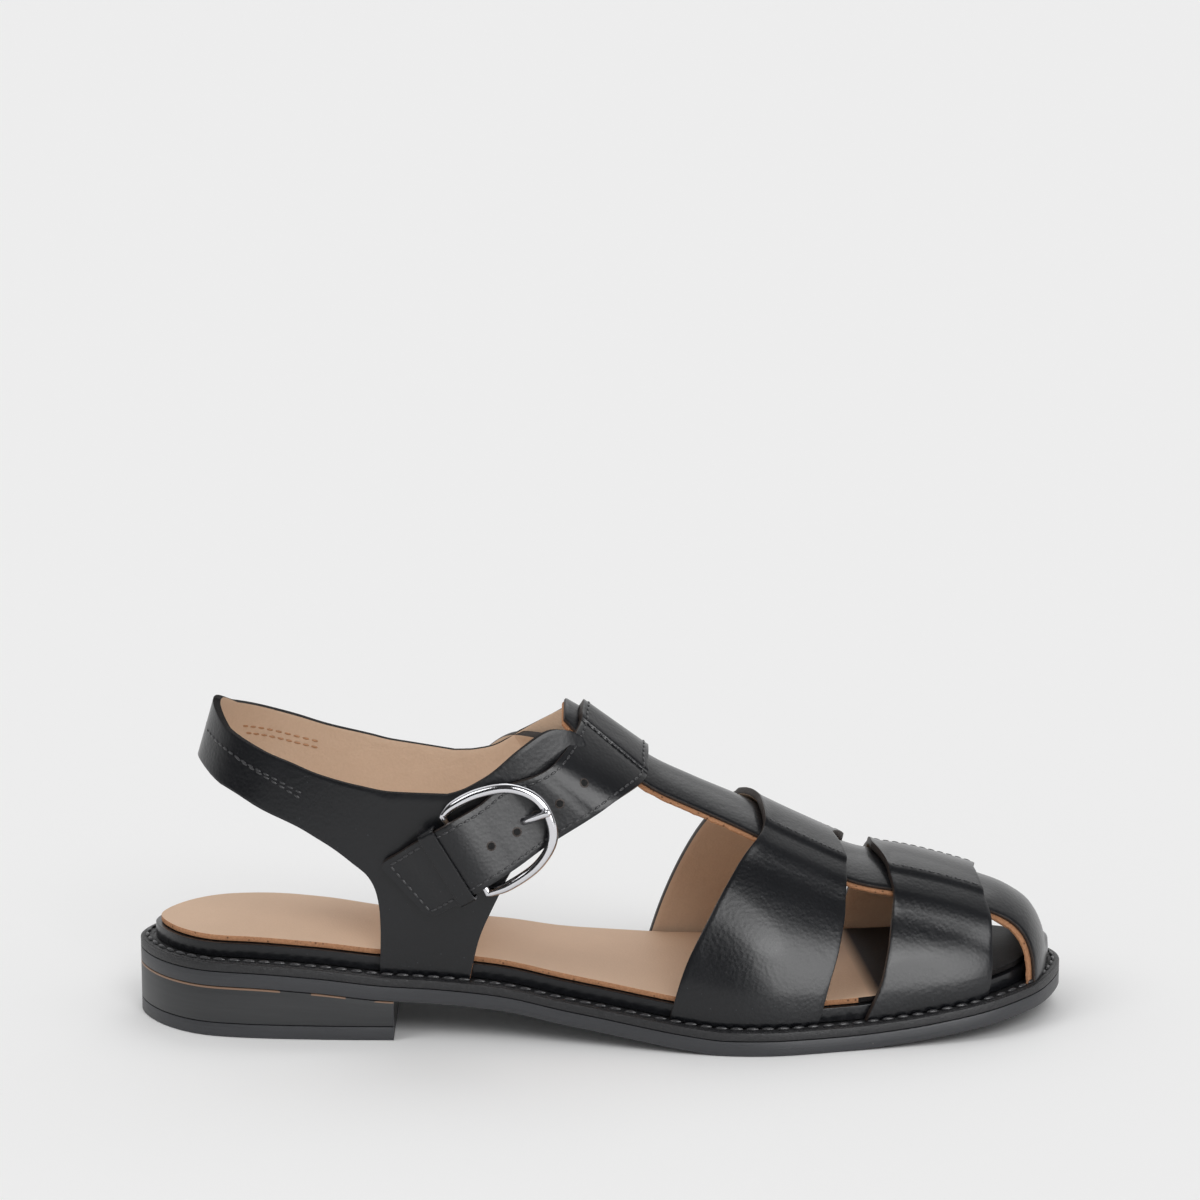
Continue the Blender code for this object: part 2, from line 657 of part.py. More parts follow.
def quarter_edge(side, along, height):
    if along is None:
        low = float(footbed_bottom(FEATHER[0, 0]))
        return 0.0, (height * COLLAR_HEIGHT - low) / (COLLAR_HEIGHT - low)
    if height is None:
        return find_on_quarter(side, x_of(along), float(footbed_bottom(x_of(along))))[0], 0.0
    return find_on_quarter(side, x_of(along), height * COLLAR_HEIGHT)


def collar_rise(side, row):
    if side < 0 or row.collar_along is None:
        return 0.0
    rises = [place.rise for place in INNER_COLLAR]
    return float(blend_table([place.along for place in INNER_COLLAR], rises, row.collar_along))


def quarter_side(side):
    """Turns and rises of one side's lower edge and collar, from the wing's tip to the heel's back."""
    pieces = []
    for name, span in (("wing", WING_SPAN), ("stem", STEM_SPAN), ("sling", SLING_SPAN)):
        knots = [(*quarter_edge(side, row.low_along, row.low_height),
                  *quarter_edge(side, row.collar_along, row.collar_height + collar_rise(side, row)))
                 for row in span]
        points = curve_through(knots, SPAN_COLUMNS[name] + 1)
        if name == "sling":
            ease = np.linspace(1.0, 0.0, len(points) // 5 + 1)[:, None]**1.5
            points[-len(ease):, ::2] = points[-len(ease), ::2] * ease
        pieces.append(points if name == "sling" else points[:-1])
    return np.vstack(pieces)


def quarter(finish, collection, rows_up=8):
    """Quarter and heel sling in one piece, with a stem down to the welt on each side."""
    edges = np.vstack([quarter_side(-1), quarter_side(1)[-2::-1]])
    shares = np.linspace(0.0, 1.0, rows_up)
    base = np.array([[quarter_point(low_turn + (top_turn - low_turn) * share,
                                    low_rise + (top_rise - low_rise) * share) for share in shares]
                     for low_turn, low_rise, top_turn, top_rise in edges])
    stem_from = SPAN_COLUMNS["wing"]
    stem_to = stem_from + SPAN_COLUMNS["stem"]
    made = leather_sheet("quarter", base, np.zeros(base.shape[:2]), axis_points(base, 0.03),
                         finish, collection)
    level_stem_feet(made, base, stem_from, stem_to)
    return made


def level_stem_feet(made, base, stem_from, stem_to):
    """Lay the feet of the stems level, just over the welt."""
    low = min(base[stem_from:stem_to + 1, 0, 2])
    reach = 3 * SEAM_GAP
    for point in made.data.vertices:
        seat = float(footbed_bottom(point.co.x))
        if low - LEATHER < point.co.z < seat + reach:
            point.co.z = seat


def on_quarter(side, along, height, stand_off):
    """Point outside the quarter's inner face and the way out from it there."""
    turn, rise = find_on_quarter(side, x_of(along), height * COLLAR_HEIGHT)
    step = 0.004
    point = quarter_point(turn, rise)
    ahead = quarter_point(turn + step, rise) - point
    upward = quarter_point(turn, rise + step) - point
    out = np.cross(ahead, upward)
    out /= np.linalg.norm(out)
    out *= math.copysign(1.0, out[1] * side)
    return point + out * stand_off, out


def beside_edges(side, row):
    """Rear and front edge points of the ankle strap beside the foot, and the ways out from them."""
    slant = math.radians(row.slant)
    reach_along = math.sin(slant) * STRAP_WIDTH / 2 / SOLE_LENGTH
    reach_up = math.cos(slant) * STRAP_WIDTH / 2 / COLLAR_HEIGHT
    rear = on_quarter(side, row.along - reach_along, row.height + reach_up, row.stand_off)
    front = on_quarter(side, row.along + reach_along, row.height - reach_up, row.stand_off)
    return rear, front


def ankle_strap_rows():
    rows = []
    for side, table in ((1, INNER_STRAP), (0, OVER_STRAP), (-1, OUTER_STRAP)):
        for row in table:
            if side:
                rear, front = (edge[0] for edge in beside_edges(side, row))
            else:
                rear, front = over_point(row, "rear"), over_point(row, "front")
            rows.append(np.concatenate([rear, front]))
    return np.array(rows)


def over_point(row, edge):
    """Point over the T-bar, raised by a share of the leather, less what the seam takes in."""
    x = x_of(getattr(row, edge + "_along"))
    girth = getattr(row, edge + "_girth")
    side = -1 if girth < 0 else 1
    lift = row.lift * (LEATHER - SEWN_IN)
    section = upright_section(x, side)
    step = 0.001
    ahead = at_girth(upright_section(x + step, side), abs(girth)) - at_girth(section, abs(girth))
    around = at_girth(section, abs(girth) + step) - at_girth(section, max(abs(girth) - step, 0.0))
    out = np.cross(ahead, around)
    out /= np.linalg.norm(out)
    return at_girth(section, abs(girth)) + out * math.copysign(lift, out[2])


def ankle_strap_base(rows=52, columns=5):
    edges = curve_through(ankle_strap_rows(), rows)
    v = np.linspace(0, 1, columns)[None, :, None]
    return edges[:, None, :3] * (1 - v) + edges[:, None, 3:] * v


def cut(target, operand, operation):
    change = target.modifiers.new(operand.name, "BOOLEAN")
    change.operation = operation
    change.solver = "EXACT"
    change.object = operand


def helper(made):
    made.hide_render = True
    made.display_type = "WIRE"
    return made


def buckle_frame_axes():
    """Middle of the bar and the buckle's own axes: along the strap, across it, and out of it."""
    wall = LEATHER + TAB_THICKNESS + 2 * BUCKLE_GAP + BAR_RADIUS + 2 * SEAM_GAP
    (rear, out_rear), (front, out_front) = beside_edges(-1, OUTER_STRAP[BAR_ROW]._replace(stand_off=wall))
    across = (front - rear) / np.linalg.norm(front - rear)
    out = out_rear + out_front
    out -= across * np.dot(out, across)
    out /= np.linalg.norm(out)
    along = np.cross(across, out)
    if along[0] < 0:
        along = -along
    return (rear + front) / 2, along, across, out


def tube(name, points, radius, sizes, cyclic, finish, collection):
    data = bpy.data.curves.new(name, "CURVE")
    data.dimensions = "3D"
    data.bevel_depth = radius
    data.bevel_resolution = 2
    data.use_fill_caps = not cyclic
    line = data.splines.new("POLY")
    line.points.add(len(points) - 1)
    for place, point, size in zip(line.points, points, sizes):
        place.co = (*point, 1.0)
        place.radius = size
    line.use_cyclic_u = cyclic
    return new_object(name, data, finish, collection)


def buckle_frame(axes, finish, collection):
    middle, along, across, out = axes
    knots = [(row.along * FRAME_LENGTH, row.across * FRAME_WIDTH / 2, row.rise * FRAME_RISE, row.size)
             for row in FRAME_LOOP]
    loop = curve_through(knots, FRAME_SAMPLES)
    points = [middle + along * a + across * c + out * r for a, c, r, _ in loop]
    bar = [points[-1] + (points[0] - points[-1]) * share for share in (0.2, 0.4, 0.6, 0.8)]
    sizes = [size for *_, size in loop] + [BAR_RADIUS / FRAME_RADIUS] * len(bar)
    return tube("buckle_frame", points + bar, FRAME_RADIUS, sizes, True, finish, collection)


def buckle_prong(axes, finish, collection):
    """Prong that hooks round the bar, comes up through the strap and rests on the frame."""
    middle, along, across, out = axes
    ring = BAR_RADIUS + BUCKLE_GAP + PRONG_RADIUS
    angles = np.radians(np.linspace(*PRONG_HOOK, HOOK_SAMPLES))
    hook = [(ring * math.cos(angle), ring * math.sin(angle)) for angle in angles]
    rest = FRAME_RISE + FRAME_RADIUS + PRONG_RADIUS + BUCKLE_GAP
    tip = (FRAME_LENGTH + PRONG_OVERHANG.along, rest + PRONG_OVERHANG.rise)
    path = hook + [tuple(row) for row in PRONG_PATH] + [(FRAME_LENGTH, rest), tip]
    points = curve_through([middle + along * a + out * r for a, r in path], PRONG_SAMPLES)
    return tube("buckle_prong", points, PRONG_RADIUS, [1.0] * len(points), False, finish, collection)


def buckle_tab(axes, finish, collection):
    """Leather loop round the bar, slotted for the prong."""
    middle, along, across, out = axes
    ring = BAR_RADIUS + BUCKLE_GAP
    angles = np.radians(np.linspace(-90, 90, FOLD_SAMPLES))
    under = [(-row.along, -ring) for row in TAB_TAIL[::-1]]
    over = [(-row.along, ring * row.rise) for row in TAB_TAIL]
    path = under + [(ring * math.cos(angle), ring * math.sin(angle)) for angle in angles] + over
    base = np.array([[middle + along * a + out * r + across * s * TAB_WIDTH / 2 for s in (-1, 1)]
                     for a, r in path])
    heart = np.array([[middle - along * 0.001 + across * s * TAB_WIDTH / 2 for s in (-1, 1)]
                      for _ in path])
    normals = grid_normals(base, heart)
    return grid_solid("buckle_tab", base, base + normals * TAB_THICKNESS, finish, collection)


def placed_box(name, centre, axes, sizes, finish, collection):
    """Cube primitive sized and turned to the given axes."""
    bm = bmesh.new()
    bmesh.ops.create_cube(bm, size=1.0)
    for point in bm.verts:
        local = point.co.copy()
        point.co = centre + sum(axis * size * share for axis, size, share in zip(axes, sizes, local))
    bm.normal_update()
    bmesh.ops.recalc_face_normals(bm, faces=bm.faces)
    mesh = bpy.data.meshes.new(name)
    bm.to_mesh(mesh)
    bm.free()
    return new_object(name, mesh, finish, collection)


def strap_keeper(strap, row, finish, collection, cutters):
    """Flat loop round the strap just past the bar."""
    centre = strap[row].mean(axis=0)
    across = strap[row, -1] - strap[row, 0]
    across /= np.linalg.norm(across)
    along = strap[row + 1].mean(axis=0) - strap[row - 1].mean(axis=0)
    along -= across * np.dot(along, across)
    along /= np.linalg.norm(along)
    out = np.cross(along, across)
    out *= math.copysign(1.0, -out[1])
    centre = centre + out * LEATHER / 2
    width = np.linalg.norm(strap[row, -1] - strap[row, 0])
    hole = (KEEPER_WIDTH * 2, width + 4 * SEAM_GAP, LEATHER + 3 * SEAM_GAP)
    body = (KEEPER_WIDTH, hole[1] + 2 * KEEPER_THICKNESS, hole[2] + 2 * KEEPER_THICKNESS)
    made = placed_box("strap_keeper", centre, (along, across, out), body, finish, collection)
    inside = placed_box("keeper_hole", centre, (along, across, out), hole, finish, cutters)
    cut(made, helper(inside), "DIFFERENCE")
    return made


def build():
    for old in list(bpy.data.objects):
        bpy.data.objects.remove(old)
    parts = bpy.data.collections.new("fisherman_sandal")
    cutters = bpy.data.collections.new("cutters")
    for collection in (parts, cutters):
        bpy.context.scene.collection.children.link(collection)
    rubber = material("sole rubber", (0.050, 0.052, 0.058), 0.45)
    welt_leather = material("welt leather", (0.020, 0.020, 0.022), 0.60)
    black_leather = material("polished black leather", (0.015, 0.016, 0.019), 0.28)
    tan_leather = material("tan lining leather", (0.60, 0.40, 0.27), 0.60)
    silver = material("polished metal", (0.80, 0.80, 0.82), 0.15, 1.0)

    slab("outsole", plan_grid(38, 7, 0.0), sole_underside,
         lambda x: sole_underside(x) + OUTSOLE_THICKNESS, rubber, parts)
    breast = HEEL_BREAST - HEEL_BACK
    heel_plan = plan_grid(12, 9, 0.0, front=breast)
    slab("top_lift", heel_plan, lambda x: x * 0.0, lambda x: x * 0.0 + TOP_LIFT_THICKNESS, rubber, parts)
    slab("heel_block", heel_plan, lambda x: x * 0.0 + TOP_LIFT_THICKNESS + SEAM_GAP,
         lambda x: sole_underside(x) - SEAM_GAP, rubber, parts)
    slab("welt_midsole", plan_grid(38, 7, 0.0), welt_bottom, welt_top, welt_leather, parts)
    bed_ledge = ledge_at(PLAN[:, 0])
    bed = slab("footbed", plan_grid(38, 7, bed_ledge), footbed_bottom, footbed_top, black_leather, parts)
    rounding = bed.modifiers.new("rounded edge", "BEVEL")
    rounding.width = FOOTBED_ROUNDING
    rounding.segments = 2
    rounding.limit_method = "ANGLE"
    rounding.angle_limit = math.radians(50)
    slab("insole", plan_grid(38, 7, bed_ledge + INSOLE_SET_IN), insole_bottom, insole_top,
         tan_leather, parts)

    upper = t_bar(black_leather, parts)
    strap_base = ankle_strap_base()
    ankle = leather_sheet("ankle_strap", strap_base, np.zeros(strap_base.shape[:2]),
                          axis_points(strap_base, 0.04), black_leather, cutters)
    axes = buckle_frame_axes()
    middle, along, across, out = axes
    hole_middle = middle + along * HOLE_ALONG + out * HOLE_RISE
    slot = placed_box("prong_slot", hole_middle, (along, across, out), HOLE_SIZES, black_leather, cutters)
    cut(ankle, helper(slot), "DIFFERENCE")
    joined = [quarter(black_leather, cutters),
              vamp_strap("rear_vamp_strap", REAR_STRAP, black_leather, cutters),
              vamp_strap("front_vamp_strap", FRONT_STRAP, black_leather, cutters), ankle]
    for piece in joined:
        cut(upper, helper(piece), "UNION")

    buckle_frame(axes, silver, parts)
    buckle_prong(axes, silver, parts)
    tab = buckle_tab(axes, black_leather, parts)
    tab_slot = placed_box("tab_slot", middle + along * TAB_SLOT_ALONG, (along, across, out),
                          TAB_SLOT_SIZES, black_leather, cutters)
    cut(tab, helper(tab_slot), "DIFFERENCE")
    strap_keeper(strap_base, KEEPER_ROW, black_leather, parts, cutters)


build()
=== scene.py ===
"""Fisherman sandal, right shoe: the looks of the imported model, one section for each piece.

Metres. +X runs to the toe, +Y to the inner side of the foot and +Z up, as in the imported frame.
"""
import math
from collections import namedtuple

import bmesh
import bpy
import numpy as np
from mathutils import Matrix, Vector


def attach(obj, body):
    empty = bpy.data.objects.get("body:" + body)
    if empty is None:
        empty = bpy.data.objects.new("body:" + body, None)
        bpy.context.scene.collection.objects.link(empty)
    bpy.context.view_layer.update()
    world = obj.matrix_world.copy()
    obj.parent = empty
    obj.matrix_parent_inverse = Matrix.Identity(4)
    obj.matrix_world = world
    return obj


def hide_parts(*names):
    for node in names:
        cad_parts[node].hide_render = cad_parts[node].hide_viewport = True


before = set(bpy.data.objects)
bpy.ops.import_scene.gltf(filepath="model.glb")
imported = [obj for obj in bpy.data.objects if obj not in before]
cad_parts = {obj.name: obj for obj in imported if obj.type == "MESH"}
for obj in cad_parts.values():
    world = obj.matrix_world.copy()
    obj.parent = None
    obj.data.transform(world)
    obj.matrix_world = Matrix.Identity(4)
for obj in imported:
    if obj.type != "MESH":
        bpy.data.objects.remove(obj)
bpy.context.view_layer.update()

# Studio floor: one plain, pale sheet, far wider than the view, that the shoe stands on.
# It is matt and almost white, so that only the shoe's soft shadow shows on it.
FLOOR_HALF = 7.0
FLOOR_DROP = 0.0002


def shade(red, green, blue):
    """Linear colour of screen values from 0 to 255."""
    return tuple(((value / 255 + 0.055) / 1.055)**2.4 if value > 10 else value / 3295
                 for value in (red, green, blue))


class Link:
    """A node's output that takes part in sums, so that Math nodes are written as arithmetic."""

    def __init__(self, nodes, source):
        self.nodes = nodes
        self.source = source

    def maths(self, operation, first, second):
        return self.nodes.node("ShaderNodeMath", {"operation": operation}, {0: first, 1: second})

    def __add__(self, other):
        return self.maths("ADD", self, other)

    def __rsub__(self, other):
        return self.maths("SUBTRACT", other, self)

    def __mul__(self, other):
        return self.maths("MULTIPLY", self, other)

    def __gt__(self, other):
        return self.maths("GREATER_THAN", self, other)

    __radd__ = __add__
    __rmul__ = __mul__


class Nodes:
    """The nodes of a material or of the world, and the shader that they feed."""

    def __init__(self, owner, shader):
        owner.use_nodes = True
        self.tree = owner.node_tree
        self.shader = self.tree.nodes[shader]

    def feed(self, target, value):
        if isinstance(value, Link):
            self.tree.links.new(value.source, target)
        elif target.type == "RGBA":
            target.default_value = (*value, 1.0)
        else:
            target.default_value = value

    def node(self, kind, settings=None, inputs=None, output=0):
        made = self.tree.nodes.new(kind)
        for name, value in (settings or {}).items():
            if name == "stops":
                for stop, (place, level) in zip(made.color_ramp.elements, value):
                    stop.position = place
                    stop.color = (level, level, level, 1.0)
            else:
                setattr(made, name, value)
        for name, value in (inputs or {}).items():
            self.feed(made.inputs[name], value)
        return Link(self, made.outputs[output])

    def mix(self, factor, first, second):
        """The first colour, running into the second with the factor."""
        return self.node("ShaderNodeMix", {"data_type": "RGBA"}, {0: factor, 6: first, 7: second}, 2)

    def noise(self, at, scale, detail, **more):
        return self.node("ShaderNodeTexNoise", None, {
            "Vector": at, "Scale": scale, "Detail": detail, **more})

    def bump(self, strength, distance, height, **more):
        return self.node("ShaderNodeBump", None, {
            "Strength": strength, "Distance": distance, "Height": height, **more})

    def wear(self, **inputs):
        for name, value in inputs.items():
            self.feed(self.shader.inputs[name.replace("_", " ")], value)


class Finish(Nodes):
    """A material that is built up from nodes."""

    def __init__(self, name, **inputs):
        self.material = bpy.data.materials.new(name)
        super().__init__(self.material, "Principled BSDF")
        self.wear(**inputs)


def keep(name, bm, finishes, smooth_angle=40):
    """Object at the origin from a bmesh, smooth but for its sharp edges."""
    mesh = bpy.data.meshes.new(name)
    bm.to_mesh(mesh)
    bm.free()
    for finish in finishes:
        mesh.materials.append(finish.material)
    mesh.shade_smooth()
    mesh.set_sharp_from_angle(angle=math.radians(smooth_angle))
    made = bpy.data.objects.new(name, mesh)
    bpy.context.scene.collection.objects.link(made)
    return made


floor_white = Finish("floor white", Base_Color=(0.93, 0.93, 0.93), Roughness=1.0, Specular_IOR_Level=0.0)
bm = bmesh.new()
bmesh.ops.create_grid(bm, x_segments=4, y_segments=4, size=FLOOR_HALF,
                      matrix=Matrix.Translation((0, 0, -FLOOR_DROP)))
keep("floor", bm, [floor_white])

# Camera: it looks at the outer side of the shoe from a little above, through a long lens.
# The shoe stands low in the picture, so the camera is aimed over it.
PHOTO_SIDE = 1200
PIXELS_PER_METRE = 3520
FIELD_OF_VIEW = math.radians(15.0)
CAMERA_ELEVATION = math.radians(15.8)
LOOK_AT = Vector((0.0997, 0.0, 0.0405))
SHOE_BELOW_CENTRE = 270 / PHOTO_SIDE
camera_data = bpy.data.cameras.new("camera")
camera_data.lens = camera_data.sensor_width / (2 * math.tan(FIELD_OF_VIEW / 2))
camera = bpy.data.objects.new("camera", camera_data)
bpy.context.scene.collection.objects.link(camera)
distance = PHOTO_SIDE / PIXELS_PER_METRE / (2 * math.tan(FIELD_OF_VIEW / 2))
aim_up = math.atan(SHOE_BELOW_CENTRE * 2 * math.tan(FIELD_OF_VIEW / 2))
camera.location = LOOK_AT + distance * Vector((0, -math.cos(CAMERA_ELEVATION), math.sin(CAMERA_ELEVATION)))
camera.rotation_euler = (math.pi / 2 - CAMERA_ELEVATION + aim_up, 0, 0)
bpy.context.scene.camera = camera

# Light: an even white room for the floor and for matt leather, and three soft lamps. The glossy leather
# is lit by a bright screen behind the shoe and a soft panel at its toe's outer side, before dim walls.
ROOM_LEVEL = 0.715
LampRow = namedtuple("LampRow", "name azimuth elevation spread strength")
LAMPS = [
    LampRow("key lamp", 18, 40, 28, 0.75),
    LampRow("side lamp", -57, 45, 30, 0.45),
    LampRow("back lamp", 165, 50, 40, 0.35),
]
PANEL_WAY = (0.568, -0.781, 0.259)
PANEL_FROM = 0.84
PANEL_TO = 0.97
PANEL_LEVEL = 6.5
SCREEN_FROM = -0.25
SCREEN_TO = 0.75
WALL_LEVEL = 0.03
SCREEN_LEVEL = 1.15
ROOM_GREY = (0.8, 0.8, 0.8)
bpy.context.scene.view_settings.view_transform = "Standard"
world = bpy.data.worlds.new("studio")
bpy.context.scene.world = world
room = Nodes(world, "Background")
way = room.node("ShaderNodeTexCoord", output="Generated")
depth = room.node("ShaderNodeSeparateXYZ", inputs={0: way}, output="Y")
screen = room.node("ShaderNodeMapRange", {"interpolation_type": "SMOOTHSTEP"}, {
    "Value": depth, "From Min": SCREEN_FROM, "From Max": SCREEN_TO, "To Min": WALL_LEVEL,
    "To Max": SCREEN_LEVEL})
towards = room.node("ShaderNodeVectorMath", {"operation": "DOT_PRODUCT"}, {0: way, 1: PANEL_WAY}, "Value")
panel = room.node("ShaderNodeMapRange", {"interpolation_type": "SMOOTHSTEP"}, {
    "Value": towards, "From Min": PANEL_FROM, "From Max": PANEL_TO, "To Min": 0.0, "To Max": PANEL_LEVEL})
glossy = room.node("ShaderNodeLightPath", output="Is Glossy Ray")
room.wear(Color=ROOM_GREY, Strength=room.node("ShaderNodeMix", None, {
    0: glossy, 2: ROOM_LEVEL, 3: screen + panel}))
for row in LAMPS:
    lamp = bpy.data.objects.new(row.name, bpy.data.lights.new(row.name, "SUN"))
    lamp.data.energy = row.strength
    lamp.data.angle = math.radians(row.spread)
    lamp.rotation_euler = (math.radians(90 - row.elevation), 0, math.radians(row.azimuth))
    bpy.context.scene.collection.objects.link(lamp)

# Outsole and heel: black moulded rubber in one satin finish. Fine level lines run round its side,
# the heel block and its wearing layer are glued below, and raw tan shows along the heel's joint.
SOLE_LENGTH = 0.262
BALL_WIDTH = 0.088
HEEL_WIDTH = 0.060
HEEL_BACK = 0.031
HEEL_BREAST = 0.0732
HEEL_HEIGHT = 0.0146
TOE_SPRING = 0.0063
TOP_LIFT_THICKNESS = 0.0037
OUTSOLE_THICKNESS = 0.0040
WELT_THICKNESS = 0.0023
SEAM_GAP = 0.0003
SOLE_RIM = 0.00035
RING_WELD = 0.00001
PLAN_SAMPLES = 1440
CAP_SAMPLES = 68
SOLE_GRID = (140, 40)
HEEL_GRID = (40, 40)
JOINT_FROM = 0.955
JOINT_PATCHES = 0.44
PlanRow = namedtuple("PlanRow", "along heel_share ball_share")
SOLE_PLAN = [
    PlanRow(0.000, 0.033, 0.0),
    PlanRow(0.020, -0.217, 0.0),
    PlanRow(0.063, -0.400, 0.0),
    PlanRow(0.118, -0.472, 0.0),
    PlanRow(0.210, -0.505, 0.0),
    PlanRow(0.305, -0.517, 0.0),
    PlanRow(0.401, 0.0, -0.381),
    PlanRow(0.500, 0.0, -0.435),
    PlanRow(0.603, 0.0, -0.500),
    PlanRow(0.680, 0.0, -0.514),
    PlanRow(0.763, 0.0, -0.460),
    PlanRow(0.828, 0.0, -0.417),
    PlanRow(0.893, 0.0, -0.364),
    PlanRow(0.939, 0.0, -0.283),
    PlanRow(0.977, 0.0, -0.155),
    PlanRow(1.000, 0.0, 0.057),
    PlanRow(0.985, 0.0, 0.227),
    PlanRow(0.943, 0.0, 0.352),
    PlanRow(0.878, 0.0, 0.437),
    PlanRow(0.801, 0.0, 0.477),
    PlanRow(0.717, 0.0, 0.486),
    PlanRow(0.630, 0.0, 0.449),
    PlanRow(0.534, 0.0, 0.358),
    PlanRow(0.439, 0.0, 0.278),
    PlanRow(0.344, 0.390, 0.0),
    PlanRow(0.248, 0.470, 0.0),
    PlanRow(0.153, 0.518, 0.0),
    PlanRow(0.076, 0.472, 0.0),
    PlanRow(0.025, 0.295, 0.0),
]
RiseRow = namedtuple("RiseRow", "along heel_share spring_share")
SOLE_RISE = [
    RiseRow(0.000, 1.000, 0.0),
    RiseRow(0.118, 0.993, 0.0),
    RiseRow(0.195, 0.918, 0.0),
    RiseRow(0.273, 0.774, 0.0),
    RiseRow(0.324, 0.733, 0.0),
    RiseRow(0.391, 0.637, 0.0),
    RiseRow(0.458, 0.425, 0.0),
    RiseRow(0.500, 0.308, 0.0),
    RiseRow(0.544, 0.185, 0.0),
    RiseRow(0.588, 0.075, 0.0),
    RiseRow(0.634, 0.0, 0.0),
    RiseRow(0.748, 0.0, 0.0),
    RiseRow(0.828, 0.0, 0.19),
    RiseRow(0.870, 0.0, 0.40),
    RiseRow(0.916, 0.0, 0.635),
    RiseRow(0.958, 0.0, 0.84),
    RiseRow(1.000, 0.0, 1.0),
]


def curve_through(points, samples, closed=False):
    """Smooth curve through the points, as an array of samples."""
    knots = np.asarray(points, float)
    count = len(knots)
    spans = count if closed else count - 1
    at = np.linspace(0.0, spans, samples, endpoint=not closed)
    first = np.minimum(at.astype(int), spans - 1)
    part = (at - first)[:, None]
    if closed:
        a, b, c, d = (knots[(first + k) % count] for k in (-1, 0, 1, 2))
    else:
        padded = np.vstack([2 * knots[0] - knots[1], knots, 2 * knots[-1] - knots[-2]])
        a, b, c, d = (padded[first + k] for k in (0, 1, 2, 3))
    cubic = 3 * b - a - 3 * c + d
    return 0.5 * (2 * b + (c - a) * part + (2 * a - 5 * b + 4 * c - d) * part**2 + cubic * part**3)


def blend_table(xs, ys, at):
    """Value of a table at a place, on a curve that never swings past its rows."""
    xs, ys = np.asarray(xs, float), np.asarray(ys, float)
    secants = np.diff(ys) / np.diff(xs)
    inner = np.where(secants[:-1] * secants[1:] > 0,
                     2 * secants[:-1] * secants[1:] / (secants[:-1] + secants[1:] + 1e-12), 0.0)
    slopes = np.concatenate([[secants[0]], inner, [secants[-1]]])
    at = np.clip(at, xs[0], xs[-1])
    k = np.clip(np.searchsorted(xs, at) - 1, 0, len(xs) - 2)
    span = xs[k + 1] - xs[k]
    t = (at - xs[k]) / span
    rise = ys[k + 1] - ys[k]
    return (ys[k] + slopes[k] * span * t + (3 * rise - (2 * slopes[k] + slopes[k + 1]) * span) * t**2
            + ((slopes[k] + slopes[k + 1]) * span - 2 * rise) * t**3)


def x_of(along):
    return along * SOLE_LENGTH - HEEL_BACK


def share_of(x):
    return (x + HEEL_BACK) / SOLE_LENGTH


def sole_underside(x):
    heights = [row.heel_share * HEEL_HEIGHT + row.spring_share * TOE_SPRING for row in SOLE_RISE]
    return blend_table([row.along for row in SOLE_RISE], heights, share_of(x))


PLAN = curve_through([(x_of(row.along), row.heel_share * HEEL_WIDTH + row.ball_share * BALL_WIDTH)
                      for row in SOLE_PLAN], PLAN_SAMPLES, closed=True)


def set_in(distance):
    """The sole's plan moved in by a distance, from the heel's back round the outer side."""
    ahead = np.roll(PLAN, -1, axis=0) - np.roll(PLAN, 1, axis=0)
    ahead /= np.linalg.norm(ahead, axis=1)[:, None]
    inward = np.column_stack([-ahead[:, 1], ahead[:, 0]])
    moved = PLAN + inward * np.reshape(distance, (-1, 1))
    return np.roll(moved, -int(np.argmin(moved[:, 0])), axis=0)


def resample(line, count):
    steps = np.linalg.norm(np.diff(line, axis=0), axis=1)
    along = np.concatenate([[0.0], np.cumsum(steps)])
    at = np.linspace(0.0, along[-1], count)
    return np.column_stack([np.interp(at, along, line[:, k]) for k in range(line.shape[1])])


def plan_grid(rows, columns, distance, front=None):
    """Points that fill the plan from the heel to the toe, or to a straight front edge."""
    line = set_in(distance)
    toe = int(np.argmax(line[:, 0]))
    outer = line[CAP_SAMPLES:toe - CAP_SAMPLES + 1]
    inner = line[toe + CAP_SAMPLES:len(line) - CAP_SAMPLES + 1][::-1]
    heel_cap = resample(np.vstack([line[CAP_SAMPLES::-1], line[:-CAP_SAMPLES - 1:-1]]), columns)
    toe_cap = resample(line[toe - CAP_SAMPLES:toe + CAP_SAMPLES + 1], columns)
    outer_end = front if front is not None else outer[-1, 0]
    inner_end = front if front is not None else inner[-1, 0]
    outer_x = np.linspace(outer[0, 0], outer_end, rows)
    inner_x = np.linspace(inner[0, 0], inner_end, rows)
    outer_edge = np.column_stack([outer_x, np.interp(outer_x, outer[:, 0], outer[:, 1])])
    inner_edge = np.column_stack([inner_x, np.interp(inner_x, inner[:, 0], inner[:, 1])])
    if front is not None:
        toe_cap = np.linspace(outer_edge[-1], inner_edge[-1], columns)
    u = np.linspace(0, 1, rows)[:, None, None]
    v = np.linspace(0, 1, columns)[None, :, None]
    sides = (1 - v) * outer_edge[:, None] + v * inner_edge[:, None]
    ends = (1 - u) * heel_cap[None] + u * toe_cap[None]
    corners = ((1 - u) * ((1 - v) * outer_edge[0] + v * inner_edge[0])
               + u * ((1 - v) * outer_edge[-1] + v * inner_edge[-1]))
    return sides + ends - corners


